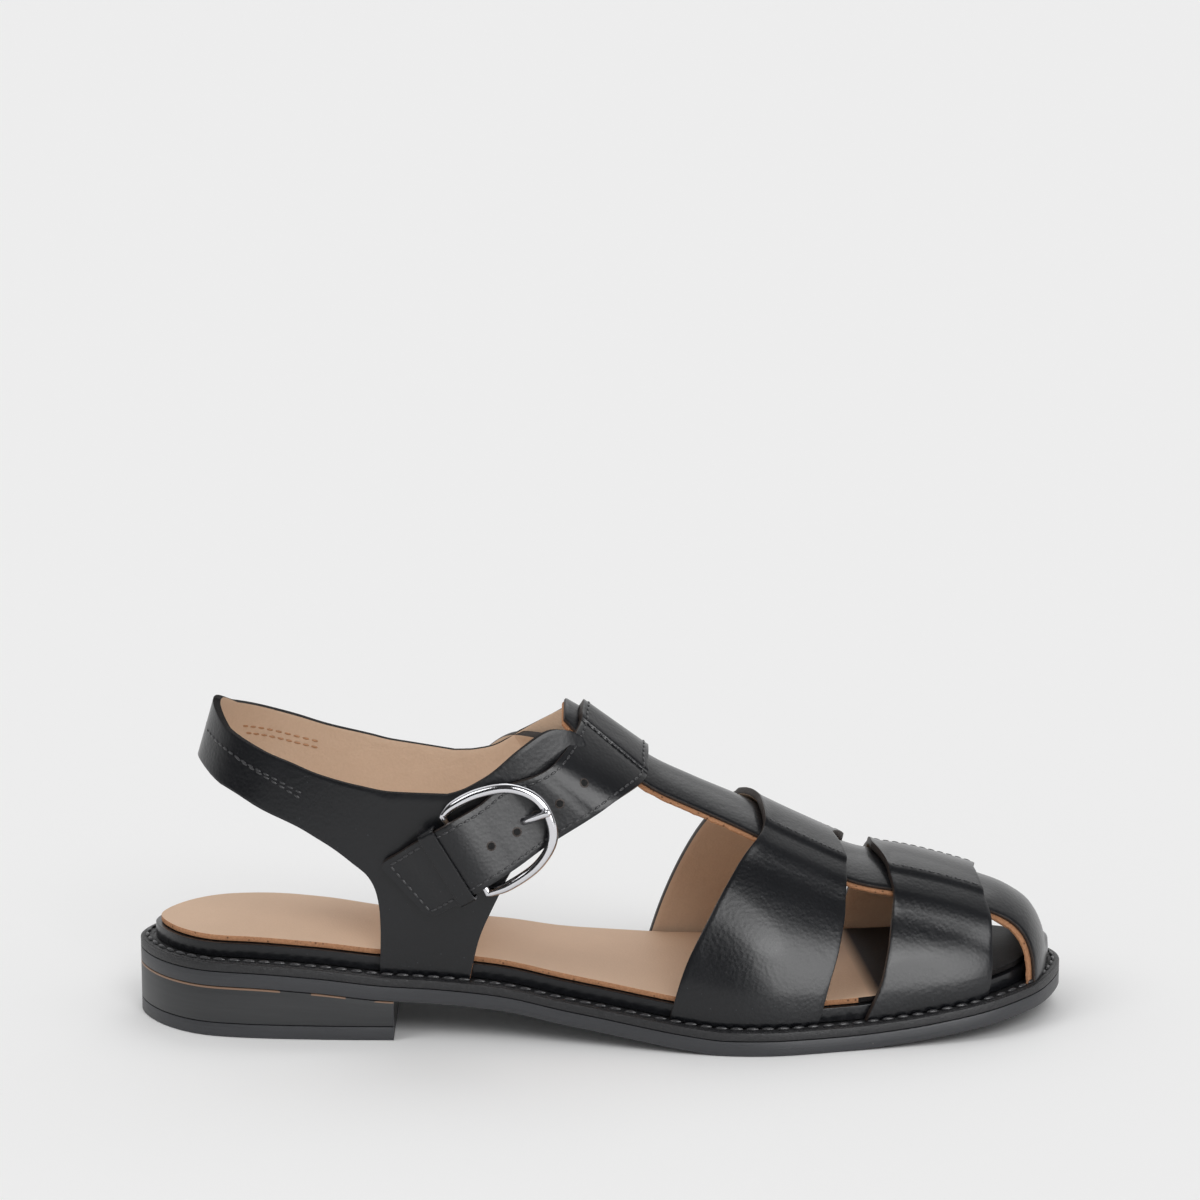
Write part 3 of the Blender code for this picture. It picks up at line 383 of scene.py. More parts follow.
def walled(name, inner, outer, finishes, rim=0.0003, segments=2, ring=False):
    """Wall between two grids of points, its rims rounded. Finishes: outer face, inner face, edge."""
    rows, columns = inner.shape[:2]
    bm = bmesh.new()
    bmesh.ops.create_grid(bm, x_segments=rows - 1, y_segments=columns - 1, size=1.0)
    raised = bmesh.ops.extrude_face_region(bm, geom=bm.faces[:])["geom"]
    bmesh.ops.translate(bm, verts=[item for item in raised if isinstance(item, bmesh.types.BMVert)],
                        vec=(0, 0, 1))
    run = np.concatenate([np.zeros((1, columns)),
                          np.cumsum(np.linalg.norm(np.diff(outer, axis=0), axis=2), axis=0)])
    across = np.concatenate([np.zeros((rows, 1)),
                             np.cumsum(np.linalg.norm(np.diff(outer, axis=1), axis=2), axis=1)], axis=1)
    across -= across[:, -1:] / 2
    uv = bm.loops.layers.uv.new("UVMap")
    level = bm.verts.layers.float.new("level")
    spots = {point: (round((point.co.x + 1) / 2 * (rows - 1)), round((point.co.y + 1) / 2 * (columns - 1)),
                     point.co.z > 0.5) for point in bm.verts}
    for face in bm.faces:
        levels = {spots[point][2] for point in face.verts}
        face.material_index = 2 if len(levels) == 2 else 0 if True in levels else 1
        for loop in face.loops:
            row, column, upper = spots[loop.vert]
            loop[uv].uv = (run[row, column], across[row, column])
    rims = [edge for edge in bm.edges if len({face.material_index for face in edge.link_faces}) == 2]
    ends = [face for face in bm.faces if face.material_index == 2
            and {spots[point][0] for point in face.verts} in ({0}, {rows - 1})]
    for point, (row, column, upper) in spots.items():
        point.co = (outer if upper else inner)[row, column]
        point[level] = float(upper)
    if ring:
        bmesh.ops.delete(bm, geom=ends, context="FACES_ONLY")
        bmesh.ops.remove_doubles(bm, verts=bm.verts, dist=RING_WELD)
        rims = [edge for edge in rims if edge.is_valid and not edge.is_boundary]
    bm.normal_update()
    bmesh.ops.recalc_face_normals(bm, faces=bm.faces)
    if rim:
        bmesh.ops.bevel(bm, geom=rims, offset=rim, offset_type="OFFSET", segments=segments, profile=0.5,
                        affect="EDGES", material=-1, clamp_overlap=True)
    return keep(name, bm, finishes)


def layer(name, plan, bottom, top, finishes, rim=SOLE_RIM, segments=2):
    """Flat layer of the sole between two heights."""
    lower = np.dstack([plan, bottom(plan[..., 0])])
    upper = np.dstack([plan, top(plan[..., 0])])
    made = walled(name, lower, upper, finishes, rim, segments)
    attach(made, "root")
    return made


def moulded_rubber(name, roughness, streaks_round, streaks_up, relief, depth):
    """Satin rubber with level streaks round its side, and what its colours are mixed from."""
    made = Finish(name, Roughness=roughness)
    at = made.node("ShaderNodeTexCoord", output="Object")
    height = made.node("ShaderNodeAttribute", {"attribute_name": "level"}, output=2)
    along = made.node("ShaderNodeSeparateXYZ", inputs={0: at})
    streaks_at = made.node("ShaderNodeCombineXYZ", inputs={
        0: along * streaks_round, 1: height * streaks_up, 2: 0.0})
    streaks = made.noise(streaks_at, 1.0, 4.0, Roughness=0.7)
    made.wear(Normal=made.bump(relief, depth, streaks + made.noise(at, 2600.0, 2.0) * 0.35))
    return made, at, height, streaks


rubber, at, height, streaks = moulded_rubber("sole rubber", 0.40, 30.0, 11.0, 0.45, 0.00012)
speck = rubber.node("ShaderNodeTexVoronoi", inputs={"Vector": at, "Scale": 115.0})
dust = rubber.node("ShaderNodeValToRGB", {"stops": [(0.028, 1.0), (0.040, 0.0)]}, {0: speck})
worn = rubber.mix(streaks, shade(44, 45, 48), shade(64, 65, 68))
rubber.wear(Base_Color=rubber.mix(dust * 0.5, worn, shade(150, 148, 142)))
rubber.wear(Roughness=streaks * 0.30 + 0.30)

# The heel block's own rubber, with the joint where its raw tan board shows
heel_rubber, at, height, streaks = moulded_rubber("heel rubber", 0.42, 24.0, 5.0, 0.35, 0.0001)
joint = (height > JOINT_FROM) * (heel_rubber.noise(at, 90.0, 3.0) > JOINT_PATCHES)
worn = heel_rubber.mix(streaks, shade(40, 41, 43), shade(60, 61, 62))
heel_rubber.wear(Base_Color=heel_rubber.mix(joint * 0.6, worn, shade(168, 132, 106)))


def outsole_top(x):
    return sole_underside(x) + OUTSOLE_THICKNESS


def heel_seat(x):
    return sole_underside(x) - SEAM_GAP


breast = HEEL_BREAST - HEEL_BACK
heel_plan = plan_grid(*HEEL_GRID, 0.0, front=breast)
outsole = layer("moulded_outsole", plan_grid(*SOLE_GRID, 0.0), sole_underside, outsole_top, [rubber] * 3)
heel = layer("heel_stack", heel_plan, lambda x: x * 0.0 + TOP_LIFT_THICKNESS + SEAM_GAP, heel_seat,
             [heel_rubber] * 3)
lift = layer("heel_wearing_layer", heel_plan, lambda x: x * 0.0, lambda x: x * 0.0 + TOP_LIFT_THICKNESS,
             [rubber] * 3)
for made, node in ((outsole, "outsole"), (heel, "heel_block"), (lift, "top_lift")):
    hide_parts(node)

# Welt: a strip of black leather round the footbed, its top rough and pressed with small wheel marks.
# A waxed black thread is sewn through it all round; its colour is lifted to a dark grey, a painted highlight
# for the light that the stitches catch.
WELT_RIB_IN = 0.0006
WELT_RIB_WIDTH = 0.0030
WELT_RIB_RISE = 0.00040
WHEEL_PITCH = 0.0011
WELT_STITCH_IN = 0.0020
WELT_STITCH_PITCH = 0.0043
WELT_STITCH = (0.0035, 0.0010, 0.0011)
STITCH_SINK = 0.15
RIB_SINK = 0.0001
MARK_DEPTH = 0.25


def welt_bottom(x):
    return sole_underside(x) + OUTSOLE_THICKNESS + SEAM_GAP


def welt_top(x):
    return welt_bottom(x) + WELT_THICKNESS


def evenly(path, pitch):
    """Points a pitch apart along a path, and the way ahead at each."""
    steps = np.linalg.norm(np.diff(path, axis=0), axis=1)
    run = np.concatenate([[0.0], np.cumsum(steps)])
    count = max(int(round(run[-1] / pitch)), 1)
    at = (np.arange(count) + 0.5) * run[-1] / count
    before, points, after = (np.column_stack([np.interp(at + step, run, path[:, k]) for k in range(3)])
                             for step in (-pitch / 4, 0.0, pitch / 4))
    return points, after - before


def sew(name, seams, finish, size):
    """Stitches along seams, each a list of points, the way ahead and the way out of the leather."""
    length, width, height = size
    bm = bmesh.new()
    for points, ahead, out in seams:
        for point, forward, upward in zip(points, ahead, out):
            z_axis = Vector(upward).normalized()
            x_axis = Vector(forward).normalized()
            y_axis = z_axis.cross(x_axis).normalized()
            x_axis = y_axis.cross(z_axis)
            turn = Matrix((x_axis * length, y_axis * width, z_axis * height)).transposed().to_4x4()
            middle = Vector(point) + z_axis * height * STITCH_SINK
            bmesh.ops.create_uvsphere(bm, u_segments=8, v_segments=6, radius=0.5,
                                      matrix=Matrix.Translation(middle) @ turn)
    made = keep(name, bm, [finish], smooth_angle=80)
    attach(made, "root")


rough_leather = Finish("rough welt leather", Roughness=0.55)
at = rough_leather.node("ShaderNodeTexCoord", output="Object")
lumps = rough_leather.noise(at, 900.0, 5.0, Roughness=0.7)
rough_leather.wear(Base_Color=rough_leather.mix(lumps, shade(18, 18, 20), shade(46, 46, 48)))
rough_leather.wear(Roughness=lumps * 0.35 + 0.30)
rough_leather.wear(Normal=rough_leather.bump(0.8, 0.0003, lumps))

# Thread colour lifted above black to dark grey: painted highlight standing in for the stitches' glints
thread_with_painted_glint = Finish("black thread lightened as painted glint", Base_Color=shade(54, 54, 56), Roughness=0.30)
at = thread_with_painted_glint.node("ShaderNodeTexCoord", output="Object")
thread_with_painted_glint.wear(Normal=thread_with_painted_glint.bump(0.6, 0.0001, thread_with_painted_glint.noise(at, 2400.0, 1.0)))

welt = layer("welt_strip", plan_grid(*SOLE_GRID, 0.0), welt_bottom, welt_top, [rough_leather] * 3)
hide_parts("welt_midsole")

rib_steps = np.linspace(0.0, 1.0, 6)
rib_lines = [np.vstack([line, line[:1]]) for line in
             (set_in(WELT_RIB_IN + step * WELT_RIB_WIDTH) for step in rib_steps)]
rib_run = np.concatenate([[0.0], np.cumsum(np.linalg.norm(np.diff(rib_lines[0], axis=0), axis=1))])
rib_base = np.stack([np.column_stack([line, welt_top(line[:, 0]) - RIB_SINK]) for line in rib_lines], axis=1)
rib_crown = rib_base.copy()
crown_shape = np.sin(np.pi * (0.06 + 0.88 * rib_steps))**0.6
marks = 1 - MARK_DEPTH + MARK_DEPTH * np.cos(2 * np.pi * rib_run / WHEEL_PITCH)
rib_crown[..., 2] += RIB_SINK + WELT_RIB_RISE * crown_shape[None, :] * marks[:, None]
rib = walled("welt_wheeled_rib", rib_base, rib_crown, [rough_leather] * 3, rim=0, ring=True)
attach(rib, "root")

thread_line = set_in(WELT_STITCH_IN)
thread_path = np.column_stack([thread_line, welt_top(thread_line[:, 0]) + WELT_RIB_RISE])
thread_path = np.vstack([thread_path, thread_path[:1]])
thread_points, thread_ahead = evenly(thread_path, WELT_STITCH_PITCH)
sew("welt_thread", [(thread_points, thread_ahead, [(0, 0, 1)] * len(thread_points))], thread_with_painted_glint,
    WELT_STITCH)

# Footbed: a padded board wrapped in smooth polished black leather and glued on the welt.
# Its rounded side, the rand, stands all round inside the welt's stitches.
BED_GRID = (100, 26)
FOOTBED_THICKNESS = 0.0040
FOOTBED_ROUNDING = 0.0015
LEDGE = 0.0058
HEEL_LEDGE = 0.0044


def footbed_bottom(x):
    return welt_top(x) + SEAM_GAP


def footbed_top(x):
    return footbed_bottom(x) + FOOTBED_THICKNESS


def ledge_at(x):
    return LEDGE - (LEDGE - HEEL_LEDGE) * np.clip(-x / HEEL_BACK, 0.0, 1.0)


def polished(name, base, coat, grain_height, crease_height):
    """Polished leather: a fine pebble grain, soft creases and a thin glossy coat."""
    made = Finish(name, Coat_Weight=coat, Coat_Roughness=0.16, Specular_IOR_Level=0.32)
    at = made.node("ShaderNodeTexCoord", output="Object")
    pebbles = made.node("ShaderNodeTexVoronoi", {"feature": "SMOOTH_F1"}, {
        "Vector": at, "Scale": 950.0, "Smoothness": 0.6})
    fibres = made.noise(at, 3200.0, 2.0)
    folds = made.noise(at, 55.0, 3.0, Distortion=1.5)
    clouds = made.noise(at, 40.0, 2.0)
    specks = made.node("ShaderNodeTexVoronoi", inputs={"Vector": at, "Scale": 330.0})
    dust = made.node("ShaderNodeValToRGB", {"stops": [(0.050, 1.0), (0.075, 0.0)]}, {0: specks})
    tone = made.mix(clouds, base, tuple(1.5 * value for value in base))
    made.wear(Base_Color=made.mix(dust * 0.10, tone, shade(120, 124, 132)))
    made.wear(Roughness=clouds * 0.16 + 0.27)
    wide = made.bump(0.5, crease_height, folds)
    made.wear(Normal=made.bump(0.5, grain_height, pebbles + fibres * 0.3, Normal=wide))
    return made


black_leather = polished("polished black leather", shade(14, 15, 18), 0.30, 0.00011, 0.0004)
bed_ledge = ledge_at(PLAN[:, 0])
bed = layer("wrapped_footbed", plan_grid(*BED_GRID, bed_ledge), footbed_bottom, footbed_top,
            [black_leather] * 3, rim=FOOTBED_ROUNDING, segments=4)
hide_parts("footbed")

# Insole: tan leather glued over the footbed, its cut edge raw and orange with small dark ticks.
# Forward of a slanted line under the vamp, its top and its cut edge are coloured near-black.
INSOLE_GRID = (120, 36)
INSOLE_THICKNESS = 0.0015
INSOLE_SET_IN = 0.0016
INSOLE_FRONT = 0.1715
FRONT_SLANT = -0.10


def insole_bottom(x):
    return footbed_top(x) + SEAM_GAP


def insole_top(x):
    return insole_bottom(x) + INSOLE_THICKNESS


def soft_tan(name, base, deep, wrinkle_height):
    """Matt lining leather with pores, soft wrinkles and uneven tan dye."""
    made = Finish(name, Roughness=0.62, Specular_IOR_Level=0.35)
    at = made.node("ShaderNodeTexCoord", output="Object")
    clouds = made.noise(at, 26.0, 5.0, Roughness=0.6)
    pores = made.node("ShaderNodeTexVoronoi", inputs={"Vector": at, "Scale": 1500.0})
    wrinkles = made.noise(at, 120.0, 4.0, Distortion=2.2)
    fine = made.noise(at, 1300.0, 3.0)
    tone = made.mix(clouds * 0.7 + fine * 0.3, deep, base)
    made.wear(Base_Color=tone)
    wide = made.bump(0.4, wrinkle_height, wrinkles)
    made.wear(Normal=made.bump(0.5, 0.00008, pores + fine, Normal=wide))
    return made, at, tone


tan_insole, at, tone = soft_tan("tan insole leather", shade(216, 186, 160), shade(194, 164, 138), 0.0002)
along = tan_insole.node("ShaderNodeSeparateXYZ", inputs={0: at})
across = tan_insole.node("ShaderNodeSeparateXYZ", inputs={0: at}, output="Y")
black_front = tan_insole.node("ShaderNodeValToRGB", {"stops": [(0.5, 0.0), (0.503, 1.0)]}, {
    0: along + across * -FRONT_SLANT + (0.5 - INSOLE_FRONT)})
tan_insole.wear(Base_Color=tan_insole.mix(black_front, tone, shade(30, 30, 32)))


def raw_cut(name, orange_where):
    """Cut edge of tan leather, with dark ticks, near-black outside the part that it says."""
    made = Finish(name, Roughness=0.85, Specular_IOR_Level=0.2)
    at = made.node("ShaderNodeTexCoord", output="Object")
    along = made.node("ShaderNodeSeparateXYZ", inputs={0: at})
    height = made.node("ShaderNodeSeparateXYZ", inputs={0: at}, output="Z")
    fibres = made.noise(at, 1400.0, 4.0, Roughness=0.7)
    ticks = made.node("ShaderNodeTexVoronoi", inputs={"Vector": at, "Scale": 620.0})
    burnt = made.node("ShaderNodeValToRGB", {"stops": [(0.10, 1.0), (0.26, 0.0)]}, {0: ticks})
    orange = made.mix(fibres, shade(128, 82, 56), shade(216, 164, 124))
    cut = made.mix(burnt * 0.75, orange, shade(50, 32, 24))
    made.wear(Base_Color=made.mix(orange_where(along, height), shade(26, 24, 24), cut))
    made.wear(Normal=made.bump(0.9, 0.0003, fibres))
    return made


insole_edge = raw_cut("raw edge of the insole", lambda along, height: INSOLE_FRONT - along > 0.0)
insole = layer("insole_cover", plan_grid(*INSOLE_GRID, bed_ledge + INSOLE_SET_IN), insole_bottom,
               insole_top, [tan_insole, tan_insole, insole_edge])
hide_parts("insole")

# Last: the form of the foot that every strap is pulled over. Its feather follows the footbed's side,
# its crest runs from the instep to the toe, and each section is two curves from crest to feather.
LEATHER = 0.0022
SEWN_IN = 0.0004
INSTEP_HEIGHT = 0.0923
COLLAR_HEIGHT = 0.092
FEATHER_BULGE = 0.0025
TOE_PIVOT = 0.931
CREST_SAMPLES = 240
SECTION_SAMPLES = 60
CrestRow = namedtuple("CrestRow", "along height")
CREST = [
    CrestRow(0.462, 0.982),
    CrestRow(0.500, 0.915),
    CrestRow(0.550, 0.805),
    CrestRow(0.599, 0.736),
    CrestRow(0.653, 0.668),
    CrestRow(0.710, 0.588),
    CrestRow(0.771, 0.512),
    CrestRow(0.828, 0.480),
    CrestRow(0.872, 0.447),
    CrestRow(0.916, 0.407),
    CrestRow(0.938, 0.382),
    CrestRow(0.960, 0.341),
    CrestRow(0.971, 0.304),
    CrestRow(0.978, 0.264),
    CrestRow(0.982, 0.225),
    CrestRow(0.984, 0.180),
    CrestRow(0.985, 0.141),
]

FormRow = namedtuple("FormRow", "along crest_across side_handle crest_handle bar_width")
LAST_FORM = [
    FormRow(0.450, 0.000, 0.45, 0.60, 0.62),
    FormRow(0.485, 0.000, 0.45, 0.60, 0.96),
    FormRow(0.599, 0.000, 0.50, 0.44, 1.02),
    FormRow(0.660, 0.000, 0.51, 0.45, 1.12),
    FormRow(0.740, 0.000, 0.52, 0.46, 1.21),
    FormRow(0.850, 0.010, 0.55, 0.50, 1.24),
    FormRow(0.931, 0.025, 0.55, 0.55, 1.16),
    FormRow(0.985, 0.057, 0.55, 0.55, 1.62),
]

FEATHER = set_in(ledge_at(PLAN[:, 0]) - SEAM_GAP)
FEATHER_TOE = int(np.argmax(FEATHER[:, 0]))
OUTER_FEATHER = FEATHER[:FEATHER_TOE + 1]
INNER_FEATHER = np.vstack([FEATHER[FEATHER_TOE:], FEATHER[:1]])[::-1]


def feather_y(side, x):
    line = OUTER_FEATHER if side < 0 else INNER_FEATHER
    return float(np.interp(x, line[:, 0], line[:, 1]))


def form_at(x, column):
    values = [getattr(row, column) for row in LAST_FORM]
    return float(blend_table([row.along for row in LAST_FORM], values, share_of(x)))


CREST_OUTER = curve_through([(x_of(row.along), row.height * INSTEP_HEIGHT) for row in CREST], CREST_SAMPLES)
CREST_AHEAD = np.gradient(CREST_OUTER, axis=0)
CREST_AHEAD /= np.linalg.norm(CREST_AHEAD, axis=1)[:, None]
CREST_INNER = CREST_OUTER + np.column_stack([CREST_AHEAD[:, 1], -CREST_AHEAD[:, 0]]) * LEATHER


def last_section(x_mid, radial, reach, side):
    """Half section of the last from the crest to the feather, as dense points."""
    pivot_z = float(footbed_bottom(x_mid))
    crest_x = x_mid + radial[0] * reach
    crest_y = form_at(crest_x, "crest_across") * BALL_WIDTH
    half = feather_y(side, x_mid) - crest_y
    side_reach = form_at(crest_x, "side_handle") * reach
    top = (crest_y, reach)
    top_handle = (crest_y + half * form_at(crest_x, "crest_handle"), reach)
    side_handle = (crest_y + half + side * FEATHER_BULGE, side_reach)
    feather = (crest_y + half, 0.0)
    t = np.linspace(0.0, 1.0, SECTION_SAMPLES)[:, None]
    flat = ((1 - t)**3 * np.array(top) + 3 * (1 - t)**2 * t * np.array(top_handle)
            + 3 * (1 - t) * t**2 * np.array(side_handle) + t**3 * np.array(feather))
    return np.column_stack([x_mid + radial[0] * flat[:, 1], flat[:, 0],
                            pivot_z + radial[1] * flat[:, 1]])


def upright_section(x, side):
    crest_z = float(np.interp(x, CREST_INNER[:, 0], CREST_INNER[:, 1]))
    return last_section(x, (0.0, 1.0), crest_z - float(footbed_bottom(x)), side)


def girth_of(section):
    return float(np.linalg.norm(np.diff(section, axis=0), axis=1).sum())


def at_girth(section, distance):
    along = np.concatenate([[0.0], np.cumsum(np.linalg.norm(np.diff(section, axis=0), axis=1))])
    return np.array([np.interp(distance, along, section[:, k]) for k in range(3)])


def axis_points(base, height):
    """Points under a grid, along the foot's middle, that its normals turn away from."""
    inside = base.copy()
    inside[..., 1] = 0.0
    inside[..., 2] = height
    return inside


def grid_normals(grid, away_from):
    """Unit normals of a grid of points, turned away from a line of inner points."""
    normals = np.cross(np.gradient(grid, axis=0), np.gradient(grid, axis=1))
    normals /= np.linalg.norm(normals, axis=2)[..., None]
    outward = np.sum(normals * (grid - away_from), axis=2).mean()
    return normals if outward > 0 else -normals


def leather_faces(base, lift, away_from, thickness=LEATHER, level_rows=()):
    """Inner and outer face of leather whose inner face lies a lift outside the base grid."""
    normals = grid_normals(base, away_from)
    inner = base + normals * lift[..., None]
    outer = inner + normals * thickness
    for row in level_rows:
        outer[row, :, 2] = inner[row, :, 2]
    return inner, outer


def strap_piece(name, inner, outer, finishes, rim=0.0004):
    made = walled(name, inner, outer, finishes, rim)
    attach(made, "root")
    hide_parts("upper")
    return made


def on_grid(grid, row, column):
    """Point of a grid at a row and a column that may lie between its own."""
    row = min(max(row, 0.0), grid.shape[0] - 1.001)
    column = min(max(column, 0.0), grid.shape[1] - 1.001)
    i, j = int(row), int(column)
    u, v = row - i, column - j
    return ((grid[i, j] * (1 - v) + grid[i, j + 1] * v) * (1 - u)
            + (grid[i + 1, j] * (1 - v) + grid[i + 1, j + 1] * v) * u)


def seam_on(outer, away_from, places, pitch):
    """A seam through places of a grid: its stitches' points, ways ahead and ways out."""
    normals = grid_normals(outer, away_from)
    path = np.array([on_grid(outer, *place) for place in places])
    ways = np.array([on_grid(normals, *place) for place in places])
    points, ahead = evenly(path, pitch)
    nearest = [int(np.argmin(np.linalg.norm(path - point, axis=1))) for point in points]
    return points, ahead, ways[nearest]


def column_in(grid, row, distance):
    """Column that lies a distance in from the first edge, or below zero from the last."""
    i = int(min(max(round(row), 0), grid.shape[0] - 1))
    width = np.linalg.norm(np.diff(grid[i], axis=0), axis=1).sum()
    share = distance / width if distance >= 0 else 1 + distance / width
    return share * (grid.shape[1] - 1)


# T-bar: one strap along the middle of the foot, from the instep over the toe to the welt. Black leather
# lies on a tan lining that was cut a little wider, so its raw orange edge shows below the black.
T_BAR_HALF_WIDTH = 0.0145
TOP_LEATHER = 0.0013
LINING_SHOWS = 0.0009
TOE_LINING_SHOWS = 0.0017
TOE_NARROWS = (0.85, 0.96)
RAGGED = 0.00016
BAR_ROWS = 120
BAR_COLUMNS = 25


def beside_footbed(point):
    """A low point of the toe, moved out to the line that the footbed's side leaves free."""
    centre = np.array([x_of(TOE_PIVOT), 0.0])
    offset = point[:2] - centre
    if offset[0] < 0 or point[2] > float(insole_top(point[0])):
        return point
    front = FEATHER[FEATHER[:, 0] > centre[0]] - centre
    angles = np.arctan2(front[:, 1], front[:, 0])
    order = np.argsort(angles)
    reach = np.interp(math.atan2(offset[1], offset[0]), angles[order], np.hypot(*front[order].T))
    flat = centre + offset * max(1.0, reach / np.hypot(*offset))
    return np.array([*flat, point[2]])


def bar_base(narrower, toe_narrower):
    """Points on the last under the T-bar, narrowed on each side, more at the toe where it says so."""
    crest = resample(CREST_INNER, BAR_ROWS)
    pivot_x = x_of(TOE_PIVOT)
    pivot = np.array([pivot_x, float(footbed_bottom(pivot_x))])
    steps = np.linspace(-1.0, 1.0, BAR_COLUMNS)
    base = np.zeros((len(crest), len(steps), 3))
    for row, point in enumerate(crest):
        if point[0] > pivot_x:
            reach = float(np.linalg.norm(point - pivot))
            mid, radial = pivot_x, (point - pivot) / reach
        else:
            mid, radial = point[0], (0.0, 1.0)
            reach = point[1] - float(footbed_bottom(mid))
        toe_share = float(np.interp(share_of(point[0]), TOE_NARROWS, (0.0, 1.0)))
        half_width = form_at(point[0], "bar_width") * T_BAR_HALF_WIDTH
        half_width -= narrower + (toe_narrower - narrower) * toe_share
        for column, step in enumerate(steps):
            section = last_section(mid, radial, reach, -1 if step < 0 else 1)
            base[row, column] = beside_footbed(at_girth(section, abs(step) * half_width))
    base[-1, :, 2] = [float(footbed_bottom(x)) for x in base[-1, :, 0]]
    away = axis_points(base, float(footbed_bottom(pivot_x)))
    away[..., 0] = np.minimum(base[..., 0], pivot_x)
    return base, away


def ragged(base, amount):
    """The same points with their two long edges worn uneven."""
    worn = base.copy()
    for edge, beside in ((0, 1), (-1, -2)):
        way = base[:, edge] - base[:, beside]
        way /= np.linalg.norm(way, axis=1)[:, None]
        rows = np.arange(len(base))
        wave = np.sin(rows * 2.3) * np.cos(rows * 0.71) + 0.6 * np.sin(rows * 5.1 + 1.0)
        worn[:, edge] += way * (wave * amount)[:, None]
    return worn


soft_lining = soft_tan("tan lining leather", shade(222, 194, 168), shade(186, 158, 134), 0.0006)[0]
dark_edge = Finish("dark inked leather edge", Roughness=0.55)
fibres = dark_edge.noise(dark_edge.node("ShaderNodeTexCoord", output="Object"), 1800.0, 4.0)
dark_edge.wear(Base_Color=dark_edge.mix(fibres, shade(18, 17, 18), shade(62, 48, 40)))
dark_edge.wear(Normal=dark_edge.bump(0.7, 0.0002, fibres))

raw_edge = raw_cut("raw edge of the T-bar's lining", lambda along, height: height > -1.0)
base, away = bar_base(0.0, 0.0)
base = ragged(base, RAGGED)
lining_inner, lining_outer = leather_faces(base, np.zeros(base.shape[:2]), away,
                                           LEATHER - TOP_LEATHER, (-1,))
strap_piece("t_bar_lining", lining_inner, lining_outer, [raw_edge, soft_lining, raw_edge], rim=0.0002)
base, away = bar_base(LINING_SHOWS, TOE_LINING_SHOWS)
bar_inner, bar_outer = leather_faces(base, np.full(base.shape[:2], LEATHER - TOP_LEATHER), away,
                                     TOP_LEATHER, (-1,))
strap_piece("t_bar_leather", bar_inner, bar_outer, [black_leather, black_leather, dark_edge], rim=0.0005)

# Vamp straps: two broad straps over the ball and the toes, sewn to the T-bar's edges where they cross
# it. The crossing stands up in a ridge beside each seam, and the rear rims are lifted and thick.
STRAP_RAMP = 0.0095
RIDGE_GIRTH = 0.0118
RIDGE_RISE = 0.0007
RIDGE_SHOULDER = 0.0007
RIDGE_FOOT = 0.0016
CROWN_SHARE = 0.95
CROWN_ROWS = 9
DOWN_ROWS = 26
RIM_RISE = 0.0006
RIM_SHARE = 0.14
SEAM_INSIDE_RIDGE = 0.0016
SEAM_PITCH = 0.0026
SEAM_COLUMNS = (1.0, 23.2)
VAMP_COLUMNS = 25
StrapRow = namedtuple("StrapRow", "girth rear front")
REAR_STRAP = {
    -1: [StrapRow(0.00, 0.662, 0.743), StrapRow(0.18, 0.668, 0.758), StrapRow(0.38, 0.648, 0.758),
         StrapRow(0.62, 0.616, 0.751), StrapRow(0.82, 0.589, 0.739), StrapRow(1.00, 0.573, 0.728)],
    1: [StrapRow(0.00, 0.662, 0.743), StrapRow(0.20, 0.640, 0.760), StrapRow(0.50, 0.603, 0.757),
        StrapRow(0.80, 0.569, 0.738), StrapRow(1.00, 0.550, 0.722)],
}
FRONT_STRAP = {
    -1: [StrapRow(0.00, 0.789, 0.898), StrapRow(0.20, 0.804, 0.904), StrapRow(0.40, 0.810, 0.912),
         StrapRow(0.62, 0.806, 0.914), StrapRow(0.82, 0.797, 0.912), StrapRow(1.00, 0.779, 0.909)],
    1: [StrapRow(0.00, 0.789, 0.898), StrapRow(0.25, 0.788, 0.904), StrapRow(0.60, 0.779, 0.908),
        StrapRow(1.00, 0.758, 0.893)],
}


